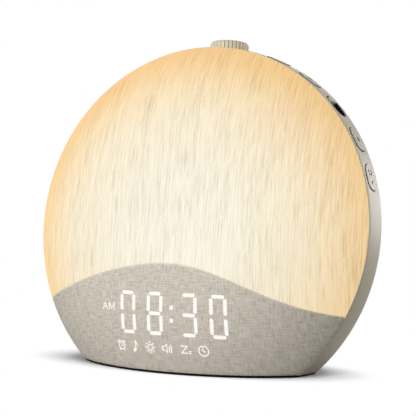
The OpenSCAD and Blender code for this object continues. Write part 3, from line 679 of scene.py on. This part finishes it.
def oak_figure(tree, xyz):
    """Amount of ink in the oak print, from long pores, broader veins and a fine tooth."""
    # the film is draped over the dome, so that its grain turns a little with the depth
    turned = add(tree, "ShaderNodeMath", {0: xyz.outputs[1], 1: GRAIN_DRAPE, 2: xyz.outputs[0]},
                 operation="MULTIPLY_ADD")
    film = add(tree, "ShaderNodeCombineXYZ", {0: turned.outputs[0], 2: xyz.outputs[2]}).outputs[0]
    # oak's own pores are finer: these are as wide as they need to be to show
    lines = add(tree, "ShaderNodeMix", {0: 0.3, 2: streaks(tree, film, 0.62, 13, seed=3.0),
                                        3: streaks(tree, film, 0.85, 30, seed=47.0, detail=1.0)})
    pores = add(tree, "ShaderNodeValToRGB", {0: lines.outputs[0]},
                stops=[(0.45, grey(0)), (0.67, grey(1))])
    veins = add(tree, "ShaderNodeValToRGB", {0: streaks(tree, film, 2.2, 40, seed=11.0)},
                stops=[(0.42, grey(0)), (0.75, grey(1))])
    # some stretches of the print are paler than others
    broad = streaks(tree, film, 9.0, 45, seed=23.0, detail=1.0)
    patches = add(tree, "ShaderNodeMapRange", {0: broad, 1: 0.3, 2: 0.7, 3: 0.55, 4: 1.1})
    tooth = streaks(tree, film, 0.55, 1.0, seed=31.0, detail=1.0)
    dark = add(tree, "ShaderNodeMath", {0: tooth, 1: TOOTH_INK, 2: -0.2}, operation="MULTIPLY_ADD")
    for part, share in ((pores, PORE_INK), (veins, VEIN_INK)):
        dark = add(tree, "ShaderNodeMath", {0: part.outputs[0], 1: share, 2: dark.outputs[0]},
                   operation="MULTIPLY_ADD")
    return add(tree, "ShaderNodeMath", {0: dark.outputs[0], 1: patches.outputs[0]},
               operation="MULTIPLY", use_clamp=True).outputs[0]


def wood_print_opal():
    """Opal polycarbonate under a printed oak film: matt, with fine dark pores, lit warm towards the rim
    by the lamp, with a share of that glow painted into its colour.
    """
    mat, tree, shader = new_material("wood_print_opal", Roughness=0.6, Specular_IOR_Level=0.3,
                                     Emission_Strength=LAMP_LEVEL)
    at = body_mm(tree)
    xyz = add(tree, "ShaderNodeSeparateXYZ", {0: at})
    amount = oak_figure(tree, xyz)
    ink = add(tree, "ShaderNodeMix", {0: amount, 6: grey(1.0), 7: linear(OAK_INK)}, data_type="RGBA")
    colour = add(tree, "ShaderNodeMix", {0: 1.0, 6: lamp_glow(tree, at), 7: ink.outputs[2]},
                 data_type="RGBA", blend_type="MULTIPLY")
    fade = add(tree, "ShaderNodeMapRange", {0: over_wave(tree, xyz), 1: 0.0, 2: LAMP_FADE,
                                            3: LAMP_FADE_SHARE, 4: 0.0},
               interpolation_type="SMOOTHSTEP")
    edged = add(tree, "ShaderNodeMix", {0: fade.outputs[0], 6: colour.outputs[2],
                                        7: linear(PANEL_TONE)}, data_type="RGBA")
    # painted glow: the base colour is the lamp's glow at a small share, so the dome looks lit whatever
    # light falls on it
    opal = add(tree, "ShaderNodeMix", {0: 1.0, 6: edged.outputs[2], 7: grey(PAINTED_GLOW_SHARE)},
               data_type="RGBA", blend_type="MULTIPLY")
    tree.links.new(opal.outputs[2], shader.inputs["Base Color"])
    tree.links.new(edged.outputs[2], shader.inputs["Emission Color"])
    bump = add(tree, "ShaderNodeBump", {"Strength": 0.15, "Distance": FILM_RELIEF, "Height": amount},
               invert=True)
    tree.links.new(bump.outputs[0], shader.inputs["Normal"])
    return mat


def weave(tree, at):
    """Plain weave: warp and weft of even pitch that cross in a checker, each of uneven thickness."""
    thick, long = SLUB
    warp = streaks(tree, at, thick, long, seed=5.0)
    across = add(tree, "ShaderNodeMapping", {"Vector": at, "Scale": (1 / long, 0, 1 / thick)})
    weft = add(tree, "ShaderNodeTexNoise", {"Vector": across.outputs[0], "Scale": 1.0, "Detail": 2.0,
                                            "Roughness": 0.6})
    uneven = add(tree, "ShaderNodeMath", {0: warp, 1: weft.outputs[0]}, operation="ADD")
    # a wave texture of scale 1 repeats after pi / 10
    bands = [add(tree, "ShaderNodeTexWave", {
        "Vector": at, "Scale": math.pi / 10 / THREAD_PITCH, "Distortion": 1.6, "Detail": 2.0,
        "Detail Scale": 0.6}, bands_direction=way).outputs[1] for way in ("X", "Z")]
    # warp and weft lie on top in turn, which shows half as much as their uneven thickness
    crossing = add(tree, "ShaderNodeMath", {0: bands[0], 1: bands[1]}, operation="SUBTRACT")
    checker = add(tree, "ShaderNodeMath", {0: crossing.outputs[0]}, operation="ABSOLUTE")
    grid = add(tree, "ShaderNodeMath", {0: checker.outputs[0], 1: 0.4, 2: 0.04},
               operation="MULTIPLY_ADD")
    return add(tree, "ShaderNodeMath", {0: uneven.outputs[0], 1: 0.8, 2: grid.outputs[0]},
               operation="MULTIPLY_ADD").outputs[0]


def woven_film():
    """Grey-beige linen weave printed and embossed on the panel: matt, mottled thread by thread."""
    mat, tree, shader = new_material("woven_film", Roughness=0.85, Specular_IOR_Level=0.3,
                                     Emission_Color=linear(EDGE_GLOW))
    at = body_mm(tree)
    threads = weave(tree, at)
    half = add(tree, "ShaderNodeMath", {0: threads, 1: 0.5}, operation="MULTIPLY")
    cloth = add(tree, "ShaderNodeValToRGB", {0: half.outputs[0]}, stops=[
        (0.30, linear(THREAD_DARK)), (0.5, linear(PANEL_TONE)), (0.70, linear(THREAD_PALE))])
    tree.links.new(cloth.outputs[0], shader.inputs["Base Color"])
    # lamp light that spills over the edge into the cloth
    xyz = add(tree, "ShaderNodeSeparateXYZ", {0: at})
    spill = add(tree, "ShaderNodeMapRange", {0: over_wave(tree, xyz), 1: -CLOTH_SPILL, 2: 0.0,
                                             3: 0.0, 4: CLOTH_SPILL_LEVEL},
                interpolation_type="SMOOTHSTEP")
    tree.links.new(spill.outputs[0], shader.inputs["Emission Strength"])
    bump = add(tree, "ShaderNodeBump", {"Strength": 0.4, "Distance": FILM_RELIEF, "Height": threads})
    tree.links.new(bump.outputs[0], shader.inputs["Normal"])
    return mat


def speckled(name, code, dark, spot, roughness, metallic=0.0, relief=0.02, **inputs):
    """A finish that turns from its colour to a darker one from grain to grain. The grain's size
    (spot) and its height (relief) are in millimetres. It is as coarse as it needs to be to show."""
    mat, tree, shader = new_material(name, Metallic=metallic, **inputs)
    at = body_mm(tree)
    grain = add(tree, "ShaderNodeTexNoise", {"Vector": at, "Scale": 1 / spot, "Detail": 3.0})
    tone = add(tree, "ShaderNodeValToRGB", {0: grain.outputs[0]},
               stops=[(0.3, linear(dark)), (0.7, linear(code))])
    tree.links.new(tone.outputs[0], shader.inputs["Base Color"])
    sheen = add(tree, "ShaderNodeMapRange", {0: grain.outputs[0], 3: roughness - GLOSS_SPREAD,
                                             4: roughness + GLOSS_SPREAD})
    tree.links.new(sheen.outputs[0], shader.inputs["Roughness"])
    bump = add(tree, "ShaderNodeBump", {"Strength": 0.3, "Distance": relief * MM,
                                        "Height": grain.outputs[0]})
    tree.links.new(bump.outputs[0], shader.inputs["Normal"])
    return mat


def glyph_light():
    """Light of the display seen through the weave: near white, a little uneven."""
    mat, tree, shader = new_material("display_light", Roughness=0.8,
                                     Base_Color=grey(FIGURE_UNLIT), Emission_Strength=FIGURE_LEVEL)
    lit = add(tree, "ShaderNodeValToRGB", {0: weave(tree, body_mm(tree))}, stops=[
        (0.55, linear(FIGURE_DIM)), (1.0, linear(FIGURE_BRIGHT))])
    tree.links.new(lit.outputs[0], shader.inputs["Emission Color"])
    return mat


# ---------------------------------------------------------------- display glyphs

# Corners of a flat line's section: side, and depth under the surface
LINE_SECTION = ((1, -PROUD), (-1, -PROUD), (-1, SUNK), (1, SUNK))


def wrapped(name, verts, faces, finish):
    """A flat glyph of (x, depth, z), laid on the dome."""
    laid = [dome_at(math.hypot(x, z), math.atan2(z, x), depth) for x, depth, z in verts]
    return make_mesh(name, laid, faces, finish)


def stroke(points, width, closed=False):
    """A flat line of a given width, as a closed solid of (x, depth, z)."""
    n = len(points)
    verts = []
    for i, p in enumerate(points):
        back = points[(i - 1) % n] if closed or i > 0 else p
        ahead = points[(i + 1) % n] if closed or i < n - 1 else p
        a = Vector((p[0] - back[0], p[1] - back[1]))
        b = Vector((ahead[0] - p[0], ahead[1] - p[1]))
        a, b = (a or b).normalized(), (b or a).normalized()
        along = (a + b).normalized()
        side = Vector((-along.y, along.x)) * (width / 2 / max(0.5, along.dot(a)))
        for sign, depth in LINE_SECTION:
            verts.append((p[0] + sign * side.x, depth, p[1] + sign * side.y))
    count = len(LINE_SECTION)
    faces = strip(n, count, wrap_a=closed, wrap_b=True)
    if not closed:
        faces += end_caps(count, len(verts))
    return verts, faces


def line(a, b, steps=6):
    """Points along a straight line, close enough together to follow the dome."""
    return list(zip(spread(a[0], b[0], steps), spread(a[1], b[1], steps)))


def arc(cx, cz, r, low, high, steps=20):
    """Points along an arc, from one angle in degrees to another."""
    return [(cx + r * math.cos(math.radians(a)), cz + r * math.sin(math.radians(a)))
            for a in spread(low, high, steps)]


def bar(x, z, half_len, upright):
    """One bar of a digit, with slanted ends."""
    half, tip = STROKE / 2, STROKE * 0.32
    start = tip / half_len
    verts = []
    for share in [-1, -1 + start] + spread(-0.8, 0.8, 8) + [1 - start, 1]:
        wide = half if abs(share) < 1 else half - tip
        for sign, depth in LINE_SECTION:
            along, over = share * half_len, sign * wide
            verts.append((x + over, depth, z + along) if upright else (x + along, depth, z + over))
    count = len(LINE_SECTION)
    return verts, strip(len(verts) // count, count, wrap_b=True) + end_caps(count, len(verts))


# Bars of each digit: top, upper right, lower right, bottom, lower left, upper left, middle
BARS = {"0": "1111110", "8": "1111111", "3": "1111001"}


def digit_bars(x, digit):
    """The lit bars of one digit."""
    reach_x, reach_z = DIGIT_HALF_W - STROKE / 2, DIGIT_HALF_H - STROKE / 2
    flat_half = reach_x - FLAT_GAP
    tall_half = reach_z / 2 - TALL_GAP
    places = [(0, 1, False), (1, 0.5, True), (1, -0.5, True), (0, -1, False), (-1, -0.5, True),
              (-1, 0.5, True), (0, 0, False)]
    return [bar(x + px * reach_x, DIGIT_Z + pz * reach_z, tall_half if upright else flat_half, upright)
            for (px, pz, upright), lit in zip(places, BARS[digit]) if lit == "1"]


def joined(parts):
    """Several (vertices, faces) as one."""
    verts, faces = [], []
    for part_verts, part_faces in parts:
        faces += [tuple(len(verts) + i for i in face) for face in part_faces]
        verts += part_verts
    return verts, faces


def square_dot(x, z, half):
    """A square dot of the colon, as a closed solid of (x, depth, z)."""
    verts = [(x + sx * half, depth, z + sz * half) for depth in (-PROUD, SUNK)
             for sx, sz in ((-1, -1), (1, -1), (1, 1), (-1, 1))]
    return verts, [(0, 1, 2, 3), (7, 6, 5, 4)] + [(i, (i + 1) % 4, 4 + (i + 1) % 4, 4 + i)
                                                  for i in range(4)]


# Figures are drawn in millimetres round their middle (x, z)

def letters_am(x, z):
    """The letters AM, for the half of the day."""
    h, w = 1.8, THIN_STROKE * 0.85
    return [stroke(line((x - 3.6, z - h), (x - 2.1, z + h)), w),
            stroke(line((x - 2.1, z + h), (x - 0.6, z - h)), w),
            stroke(line((x - 3.1, z - 0.6), (x - 1.1, z - 0.6)), w),
            stroke(line((x + 0.5, z - h), (x + 0.5, z + h)), w),
            stroke(line((x + 0.5, z + h), (x + 2.1, z - 1.1)), w),
            stroke(line((x + 2.1, z - 1.1), (x + 3.7, z + h)), w),
            stroke(line((x + 3.7, z + h), (x + 3.7, z - h)), w)]


def alarm_icon(x, z):
    """A round alarm clock with two bells and two feet."""
    w = THIN_STROKE
    return [stroke(arc(x, z, 1.9, 0, 360)[:-1], w, closed=True),
            stroke(line((x, z + 1.1), (x, z)), w), stroke(line((x, z), (x + 0.9, z - 0.2)), w),
            stroke(arc(x, z, 2.7, 110, 150, 6), w), stroke(arc(x, z, 2.7, 30, 70, 6), w),
            stroke(line((x - 1.3, z - 1.9), (x - 1.8, z - 2.6), 2), w),
            stroke(line((x + 1.3, z - 1.9), (x + 1.8, z - 2.6), 2), w)]


def note_icon(x, z):
    """A note, for the sound of the alarm."""
    return [stroke(arc(x - 0.7, z - 1.9, 0.5, 0, 360, 12)[:-1], 0.9, closed=True),
            stroke(line((x + 0.2, z - 1.8), (x + 0.2, z + 2.8)), THIN_STROKE),
            stroke([(x + 0.2, z + 2.7), (x + 0.7, z + 1.9), (x + 1.3, z + 1.2), (x + 1.4, z + 0.2)],
                   THIN_STROKE)]


def sun_icon(x, z):
    """A sun with eight rays, for the lamp."""
    rays = []
    for i in range(8):
        a = math.pi / 4 * i
        rays.append(stroke([(x + r * math.cos(a), z + r * math.sin(a)) for r in (2.2, 2.9)],
                           THIN_STROKE * 1.1))
    return rays + [stroke(arc(x, z, 1.4, 0, 360)[:-1], THIN_STROKE, closed=True)]


def speaker_icon(x, z):
    """A speaker's horn with two waves."""
    w = THIN_STROKE
    horn = [(x - 2.9, z - 0.8), (x - 1.9, z - 0.8), (x - 0.4, z - 2.0), (x - 0.4, z + 2.0),
            (x - 1.9, z + 0.8), (x - 2.9, z + 0.8)]
    return [stroke(horn, w, closed=True), stroke(arc(x - 0.6, z, 1.6, -45, 45, 8), w),
            stroke(arc(x - 0.6, z, 2.8, -45, 45, 8), w)]


def zed(x, z, half, w):
    """A letter Z."""
    corners = [(x + side * half, z + up * half) for up in (1, -1) for side in (-1, 1)]
    return [stroke(line(start, end, 4), w) for start, end in zip(corners, corners[1:])]


def sleep_icon(x, z):
    """A large and a small Z, for the sleep timer."""
    return zed(x - 0.6, z + 0.1, 1.7, THIN_STROKE) + zed(x + 2.2, z - 1.2, 0.6, THIN_STROKE * 0.7)


def timer_icon(x, z):
    """A dial with an opening at its top and two hands."""
    w = THIN_STROKE
    return [stroke(arc(x, z, 2.5, 105, 435, 26), w), stroke(line((x, z + 2.5), (x, z + 1.3), 2), w),
            stroke(line((x - 0.9, z + 0.8), (x, z - 0.1), 2), w),
            stroke(line((x, z - 0.1), (x + 0.9, z - 0.5), 2), w)]


# The row of pictograms, from the left
ICONS = [alarm_icon, note_icon, sun_icon, speaker_icon, sleep_icon, timer_icon]


def display_glyphs(finish):
    """All that the display shows, in four pieces on the panel."""
    sets = {
        "time_digits": [part for x, digit in zip(DIGIT_X, DIGITS) for part in digit_bars(x, digit)],
        "time_colon": [square_dot(COLON_X, z, COLON_HALF) for z in COLON_Z],
        "half_day_letters": letters_am(*LETTERS_AT),
        "function_icons": [part for icon, x in zip(ICONS, ICON_X) for part in icon(x, ICON_Z)],
    }
    for name, parts in sets.items():
        verts, faces = joined(parts)
        declare(wrapped(name, verts, faces, finish), "root", "cloth_panel")


# Marks on the keys, along and across the ring: a moon and a bar, a dot, a plus and a minus
MARKS = {
    0: [stroke(arc(2.6, -0.3, 1.5, 40, 320, 16), MARK_STROKE),
        stroke(line((-3.2, -1.0), (-1.9, 1.0), 3), MARK_STROKE)],
    1: [stroke(arc(-0.4, 0.1, 0.9, 0, 360, 12)[:-1], MARK_STROKE, closed=True)],
    3: [stroke(line((-1.4, 0.0), (1.4, 0.0), 4), MARK_STROKE),
        stroke(line((0.0, -1.4), (0.0, 1.4), 4), MARK_STROKE)],
    4: [stroke(line((-1.4, 0.0), (1.4, 0.0), 4), MARK_STROKE)],
}


def key_mark(name, place, parts, finish):
    """Dark mark printed on a key's cap."""
    verts, faces = joined(parts)
    centre = key_angle(place) * FACE_R
    laid = []
    for along, depth, across in verts:
        y = KEY_Y + across
        laid.append(on_ring((centre + along, y), ring_radius(y) + KEY_PROUD + MARK_LIFT - depth))
    return make_mesh(name, laid, faces, finish)


# ---------------------------------------------------------------- knob

def flute_tree(finish):
    """Node tree that sinks even flutes into the side of a turned knob."""
    tree = bpy.data.node_groups.new("knob_flutes", "GeometryNodeTree")
    for name, kind in (("Geometry", "Geometry"), ("Flutes", "Int"), ("Depth", "Float"),
                       ("Fade from", "Float"), ("Fade to", "Float")):
        tree.interface.new_socket(name, in_out="INPUT", socket_type=f"NodeSocket{kind}")
    tree.interface.new_socket("Geometry", in_out="OUTPUT", socket_type="NodeSocketGeometry")
    given = add(tree, "NodeGroupInput").outputs
    at = add(tree, "GeometryNodeInputPosition")
    xyz = add(tree, "ShaderNodeSeparateXYZ", {0: at.outputs[0]})
    turn = add(tree, "ShaderNodeMath", {0: xyz.outputs[1], 1: xyz.outputs[0]}, operation="ARCTAN2")
    many = add(tree, "ShaderNodeMath", {0: turn.outputs[0], 1: given["Flutes"]}, operation="MULTIPLY")
    wave = add(tree, "ShaderNodeMath", {0: many.outputs[0]}, operation="COSINE")
    groove = add(tree, "ShaderNodeMapRange", {0: wave.outputs[0], 1: -0.2, 2: 1.0, 3: 0.0, 4: 1.0},
                 interpolation_type="SMOOTHSTEP")
    fade = add(tree, "ShaderNodeMapRange", {0: xyz.outputs[2], 1: given["Fade from"],
                                            2: given["Fade to"], 3: 1.0, 4: 0.0},
               interpolation_type="SMOOTHSTEP")
    sink = add(tree, "ShaderNodeMath", {0: groove.outputs[0], 1: fade.outputs[0]},
               operation="MULTIPLY")
    deep = add(tree, "ShaderNodeMath", {0: sink.outputs[0], 1: given["Depth"]}, operation="MULTIPLY")
    inwards = add(tree, "ShaderNodeVectorMath", {0: at.outputs[0], 1: (-1, -1, 0)},
                  operation="MULTIPLY")
    unit = add(tree, "ShaderNodeVectorMath", {0: inwards.outputs[0]}, operation="NORMALIZE")
    offset = add(tree, "ShaderNodeVectorMath", {0: unit.outputs[0], "Scale": deep.outputs[0]},
                 operation="SCALE")
    moved = add(tree, "GeometryNodeSetPosition", {"Geometry": given["Geometry"],
                                                  "Offset": offset.outputs[0]})
    real = add(tree, "GeometryNodeRealizeInstances", {0: moved.outputs[0]})
    done = add(tree, "GeometryNodeSetMaterial", {"Geometry": real.outputs[0], "Material": finish})
    add(tree, "NodeGroupOutput", {0: done.outputs[0]})
    return tree


def apply_tree(thing, tree, sizes):
    """Runs a node tree on an object with the given sizes and keeps the result as a plain mesh."""
    run = thing.modifiers.new(tree.name, "NODES")
    run.node_group = tree
    for item in tree.interface.items_tree:
        if item.in_out == "INPUT" and item.name in sizes:
            run[item.identifier] = sizes[item.name]
    bpy.context.view_layer.update()
    graph = bpy.context.evaluated_depsgraph_get()
    result = bpy.data.meshes.new_from_object(thing.evaluated_get(graph))
    thing.modifiers.remove(run)
    thing.data = result


def fluted_knob(finish):
    """Turned knob: straight side, small round at the top edge, flat top with a shallow dish."""
    r, top, edge = KNOB_D / 2, KNOB_H, KNOB_EDGE
    bore, floor = r - 2.5, 1.0
    # the flat rim ends in a small step down to the dish, which falls a little more to its middle
    dish = top - 0.12
    profile = [(bore, 0.0), (r - 0.4, 0.0), (r, 0.3)]
    profile += [(r, z) for z in spread(0.3, top - edge, 8)[1:]]
    for a in spread(0.0, math.pi / 2, 8)[1:]:
        profile.append((r - edge * (1 - math.cos(a)), top - edge + edge * math.sin(a)))
    profile += [(r - edge - 0.5, top), (r - edge - 0.8, dish)]
    profile += [(x, dish - 0.1 * (1 - x / 6.6)) for x in spread(r - edge - 1.2, 0.0, 6)]
    profile += [(0.0, floor), (bore, floor)]
    steps = FLUTES * 10
    verts = [(x * math.cos(a) * MM, x * math.sin(a) * MM, z * MM)
             for a in spread(0, 2 * math.pi, steps)[:-1] for x, z in profile]
    faces = strip(steps, len(profile), wrap_a=True, wrap_b=True)
    thing = make_mesh("fluted_knob", verts, faces, finish, place=Matrix.Identity(4))
    sizes = {"Flutes": FLUTES, "Depth": FLUTE_DEPTH * MM, "Fade from": (top - FLUTE_DEPTH) * MM,
             "Fade to": top * MM}
    apply_tree(thing, flute_tree(finish), sizes)
    stand = (TO_FRAME @ Matrix.Translation((0, KNOB_Y, KNOB_LOW)) @ Matrix.Scale(1 / MM, 4)
             @ Matrix.Rotation(FLUTE_PHASE, 4, "Z"))
    thing.data.transform(stand)
    thing.data.shade_smooth()
    thing.data.set_sharp_from_angle(angle=KNOB_SHARP)
    return thing


# ---------------------------------------------------------------- stage, light and camera

# Even light from all round
SKY_LEVEL = 0.25
# Soft boxes: direction from the front (positive to the right) and height in degrees, and watts
LAMPS = {"front_low": (-20, 8, 16.0), "front_middle": (20, 8, 4.6), "right_high": (30, 38, 0.6),
         "right_rear": (145, 5, 9.6), "left_rear": (-155, 3, 8.0)}
# Their distance from the point that they are aimed at, and their size, in metres
LAMP_REACH = 1.4
LAMP_SIZE = 0.9
LAMP_AIM = Vector((0, 0, 0.08))

FLOOR_HALF = 6.0
# Distances on the floor are shares of an oval round the foot: 1 / its half sizes, and its shift
SHADOW_SCALE = (1 / 0.115, 1 / 0.045, 0)
SHADOW_SHIFT = (0.035, 0.05, 0)
# A painted shadow takes the paper from half its tone to all of it, and shadow turns to plain white,
# between these
FOOT_PAINTED_SHADOW = (0.56, 0.73)
PLAIN_WHITE = (0.62, 0.90)
# Over 1 and a little blue, so that it comes out a neutral white in the lamps' light
FLOOR_TONE = (1.1, 1.13, 1.18, 1.0)
# Tone of the paper in the light that it throws back on the clock
FLOOR_BOUNCE = "#5a5342"

# Camera: how far it turns to the left and down, its place and its reach in metres, and its lens in
# millimetres
CAMERA_TURN = math.radians(27.28)
CAMERA_TIP = math.radians(-1.45)
CAMERA_AT = (0.2889, -0.5535, 0.0979)
CAMERA_LENS = 103.1
CAMERA_SENSOR = 36.0
CAMERA_FAR = 50.0


def seen_plainly(tree):
    """1 for what the camera sees, also through a reflection or clear plastic, and 0 for the rest."""
    rays = add(tree, "ShaderNodeLightPath")
    seen = rays.outputs["Is Camera Ray"]
    for kind in ("Is Glossy Ray", "Is Transmission Ray"):
        seen = add(tree, "ShaderNodeMath", {0: seen, 1: rays.outputs[kind]},
                   operation="MAXIMUM").outputs[0]
    return seen


def white_world():
    """Even pale light all round, which the camera sees as plain white."""
    world = bpy.data.worlds.new("white_studio")
    bpy.context.scene.world = world
    tree = emptied(world)
    strength = add(tree, "ShaderNodeMapRange", {0: seen_plainly(tree), 3: SKY_LEVEL, 4: 1.0})
    sky = add(tree, "ShaderNodeBackground", {"Color": grey(1.0), "Strength": strength.outputs[0]})
    add(tree, "ShaderNodeOutputWorld", {0: sky.outputs[0]})


def white_sweep():
    """White paper that keeps the clock's shadow at its foot and is plain white beyond it."""
    mat = bpy.data.materials.new("white_sweep")
    tree = emptied(mat)
    seen = seen_plainly(tree)
    at = add(tree, "ShaderNodeTexCoord")
    foot = add(tree, "ShaderNodeVectorMath", {0: at.outputs["Object"], 1: SHADOW_SCALE,
                                              2: SHADOW_SHIFT}, operation="MULTIPLY_ADD")
    away = add(tree, "ShaderNodeVectorMath", {0: foot.outputs[0]}, operation="LENGTH")
    far = add(tree, "ShaderNodeMapRange", {0: away.outputs["Value"], 1: PLAIN_WHITE[0],
                                           2: PLAIN_WHITE[1]}, interpolation_type="SMOOTHSTEP")
    # painted shadow: the paper's tone is halved close round the foot, where little light gets in
    near = add(tree, "ShaderNodeMapRange", {0: away.outputs["Value"], 1: FOOT_PAINTED_SHADOW[0],
                                            2: FOOT_PAINTED_SHADOW[1], 3: 0.5},
               interpolation_type="SMOOTHSTEP")
    pale = add(tree, "ShaderNodeMix", {0: near.outputs[0], 6: grey(0.0), 7: FLOOR_TONE},
               data_type="RGBA")
    tone = add(tree, "ShaderNodeMix", {0: seen, 6: linear(FLOOR_BOUNCE), 7: pale.outputs[2]},
               data_type="RGBA")
    paper = add(tree, "ShaderNodeBsdfDiffuse", {"Color": tone.outputs[2]})
    plain = add(tree, "ShaderNodeEmission", {"Color": grey(1.0), "Strength": 1.0})
    beyond = add(tree, "ShaderNodeMixShader", {0: far.outputs[0], 1: paper.outputs[0],
                                               2: plain.outputs[0]})
    show = add(tree, "ShaderNodeMixShader", {0: seen, 1: paper.outputs[0], 2: beyond.outputs[0]})
    add(tree, "ShaderNodeOutputMaterial", {0: show.outputs[0]})
    return mat


def studio_floor(finish):
    """The wide, flat floor that the clock stands on."""
    half = FLOOR_HALF
    mesh = bpy.data.meshes.new("studio_floor")
    mesh.from_pydata([(-half, -half, 0), (half, -half, 0), (half, half, 0), (-half, half, 0)], [],
                     [(0, 1, 2, 3)])
    mesh.materials.append(finish)
    floor = bpy.data.objects.new("studio_floor", mesh)
    bpy.context.scene.collection.objects.link(floor)


def soft_boxes():
    """Round area lamps, each set by its direction and aimed at the middle of the clock."""
    for name, (turn, rise, watts) in LAMPS.items():
        light = bpy.data.lights.new(name, "AREA")
        light.shape = "DISK"
        light.size = LAMP_SIZE
        light.energy = watts
        lamp = bpy.data.objects.new(name, light)
        way = Vector((0, -1, 0))
        way.rotate(Matrix.Rotation(math.radians(-rise), 3, "X"))
        way.rotate(Matrix.Rotation(math.radians(turn), 3, "Z"))
        lamp.location = LAMP_AIM + way * LAMP_REACH
        lamp.rotation_euler = (-way).to_track_quat("-Z", "Y").to_euler()
        bpy.context.scene.collection.objects.link(lamp)


def camera():
    """Looks at the clock from the right, level with its face."""
    turn, tip = CAMERA_TURN, CAMERA_TIP
    ahead = Vector((-math.sin(turn) * math.cos(tip), math.cos(turn) * math.cos(tip), math.sin(tip)))
    right = Vector((math.cos(turn), math.sin(turn), 0))
    up = right.cross(ahead)
    lens = bpy.data.cameras.new("camera")
    lens.lens = CAMERA_LENS
    lens.sensor_width = CAMERA_SENSOR
    lens.clip_end = CAMERA_FAR
    eye = bpy.data.objects.new("camera", lens)
    basis = Matrix((right, up, -ahead)).transposed().to_4x4()
    eye.matrix_world = Matrix.Translation(CAMERA_AT) @ basis
    bpy.context.scene.collection.objects.link(eye)
    bpy.context.scene.camera = eye


# ---------------------------------------------------------------- putting it together

# Satin paint on plastic: pale, warm, with soft highlights and hardly any grain
champagne = speckled("satin_champagne_paint", "#d0c7b0", "#ccc3ac", 0.6, 0.43, relief=0.003,
                     Specular_IOR_Level=0.45)
# Anodised knob: silky and nearly as flat as the paint in even light, so its metallic is low
knob_metal = speckled("champagne_anodised_aluminium", "#d3c8af", "#c9bea4", 0.6, 0.5, metallic=0.15,
                      relief=0.001, Specular_IOR_Level=0.3)
# Moulded rubber: a dead black line under the foot
rubber = speckled("black_rubber", "#0b0b0b", "#070707", 0.5, 0.85, Specular_IOR_Level=0.1)
# Moulded ABS: a slightly glossy black, for inlet, holders and electronic parts
black = speckled("black_abs", "#1b1b1c", "#151516", 0.4, 0.45)
# The same with a fine texture: the slide's well and the keys' marks read as plain dark
matt_black = speckled("matt_black_abs", "#0c0c0c", "#080808", 0.4, 0.75, Specular_IOR_Level=0.2)
# Brown ABS of the keys' bodies, painted shade for the gaps round the caps, which look soft and warm,
# not black
umber = speckled("umber_gap_shade", "#3f392e", "#353026", 0.4, 0.7, Specular_IOR_Level=0.2)
# Moulded polystyrene of the inner frame: bright and even
white = speckled("white_polystyrene", "#f0eee8", "#e8e6df", 0.6, 0.5)
# Solder mask on the boards: a deep, rather glossy green
board = speckled("green_solder_mask", "#2c6a45", "#245a3a", 0.8, 0.35)
# Silicone over the lamp chips: pale yellow and glossy
silicone = speckled("led_silicone", "#f4ecc8", "#efe4b4", 0.4, 0.3)
# Zinc on screws, baskets and cases: a cool, bright metal
steel = speckled("zinc_plated_steel", "#b9bcc0", "#a6a9ad", 0.5, 0.3, metallic=1.0)
# Brass of shafts and pins: a yellow metal
brass = speckled("nickel_brass", "#c9a85a", "#b8964a", 0.5, 0.3, metallic=1.0)
# Pressed paper of the speaker's cone: fibrous, matt and nearly black
cone_paper = speckled("black_paper_cone", "#2a2a2b", "#1f1f20", 0.3, 0.9)
# Sintered ferrite of its magnet: dull dark grey
ferrite = speckled("ferrite_ceramic", "#3c3c3e", "#303032", 0.3, 0.7)
opal = wood_print_opal()
cloth = woven_film()
lit = glyph_light()

# Finishes of the frame's own pieces. The rest is white, or a finer piece stands for it.
FINISHES = {
    "rear_cover": champagne, "speaker_grille": champagne,
    "base_pad": rubber, "speaker_gasket": rubber,
    "slide_bezel": matt_black, "power_inlet": black, "main_parts": black, "cell_holder": black,
    "key_switches": black,
    "chassis": white, "reflector": white, "light_divider": white, "display_guide": white,
    "light_board": board, "display_board": board, "main_board": board, "encoder_board": board,
    "key_board": board, "light_leds": silicone, "display_leds": silicone,
    "backup_cell": steel, "board_screws": steel, "cover_screws": steel, "speaker_screws": steel,
    "speaker_frame": steel, "encoder_body": steel, "encoder_nut": steel, "slide_case": steel,
    "encoder_shaft": brass, "encoder_plunger": brass, "inlet_pin": brass,
    "speaker_cone": cone_paper, "speaker_magnet": ferrite,
}
for name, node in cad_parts.items():
    node.data.materials.clear()
    node.data.materials.append(FINISHES.get(name, white))

declare(lamp_dome(opal), "root", "lit_dome", "front_diffuser")
declare(display_panel(cloth), "root", "cloth_panel", "display_cover")
declare(painted_ring(champagne), "root", "champagne_paint", "side_ring")
for number, place in enumerate(KEY_PLACES, 1):
    body = f"key_{number}"
    declare(key_cap(f"key_cap_{number}", place, champagne), body, "champagne_paint", body)
    declare(key_body(f"key_body_{number}", place, umber), body, "black_plastic")
    declare(key_mark(f"key_mark_{number}", place, MARKS[place], matt_black), body, "black_plastic")
declare(slide_grip(champagne), "slide", "champagne_paint", "slide_nub")
declare(fluted_knob(knob_metal), "knob_turn", "champagne_metal", "knob")
display_glyphs(lit)

bpy.context.scene.view_settings.view_transform = "Standard"
white_world()
studio_floor(white_sweep())
soft_boxes()
camera()
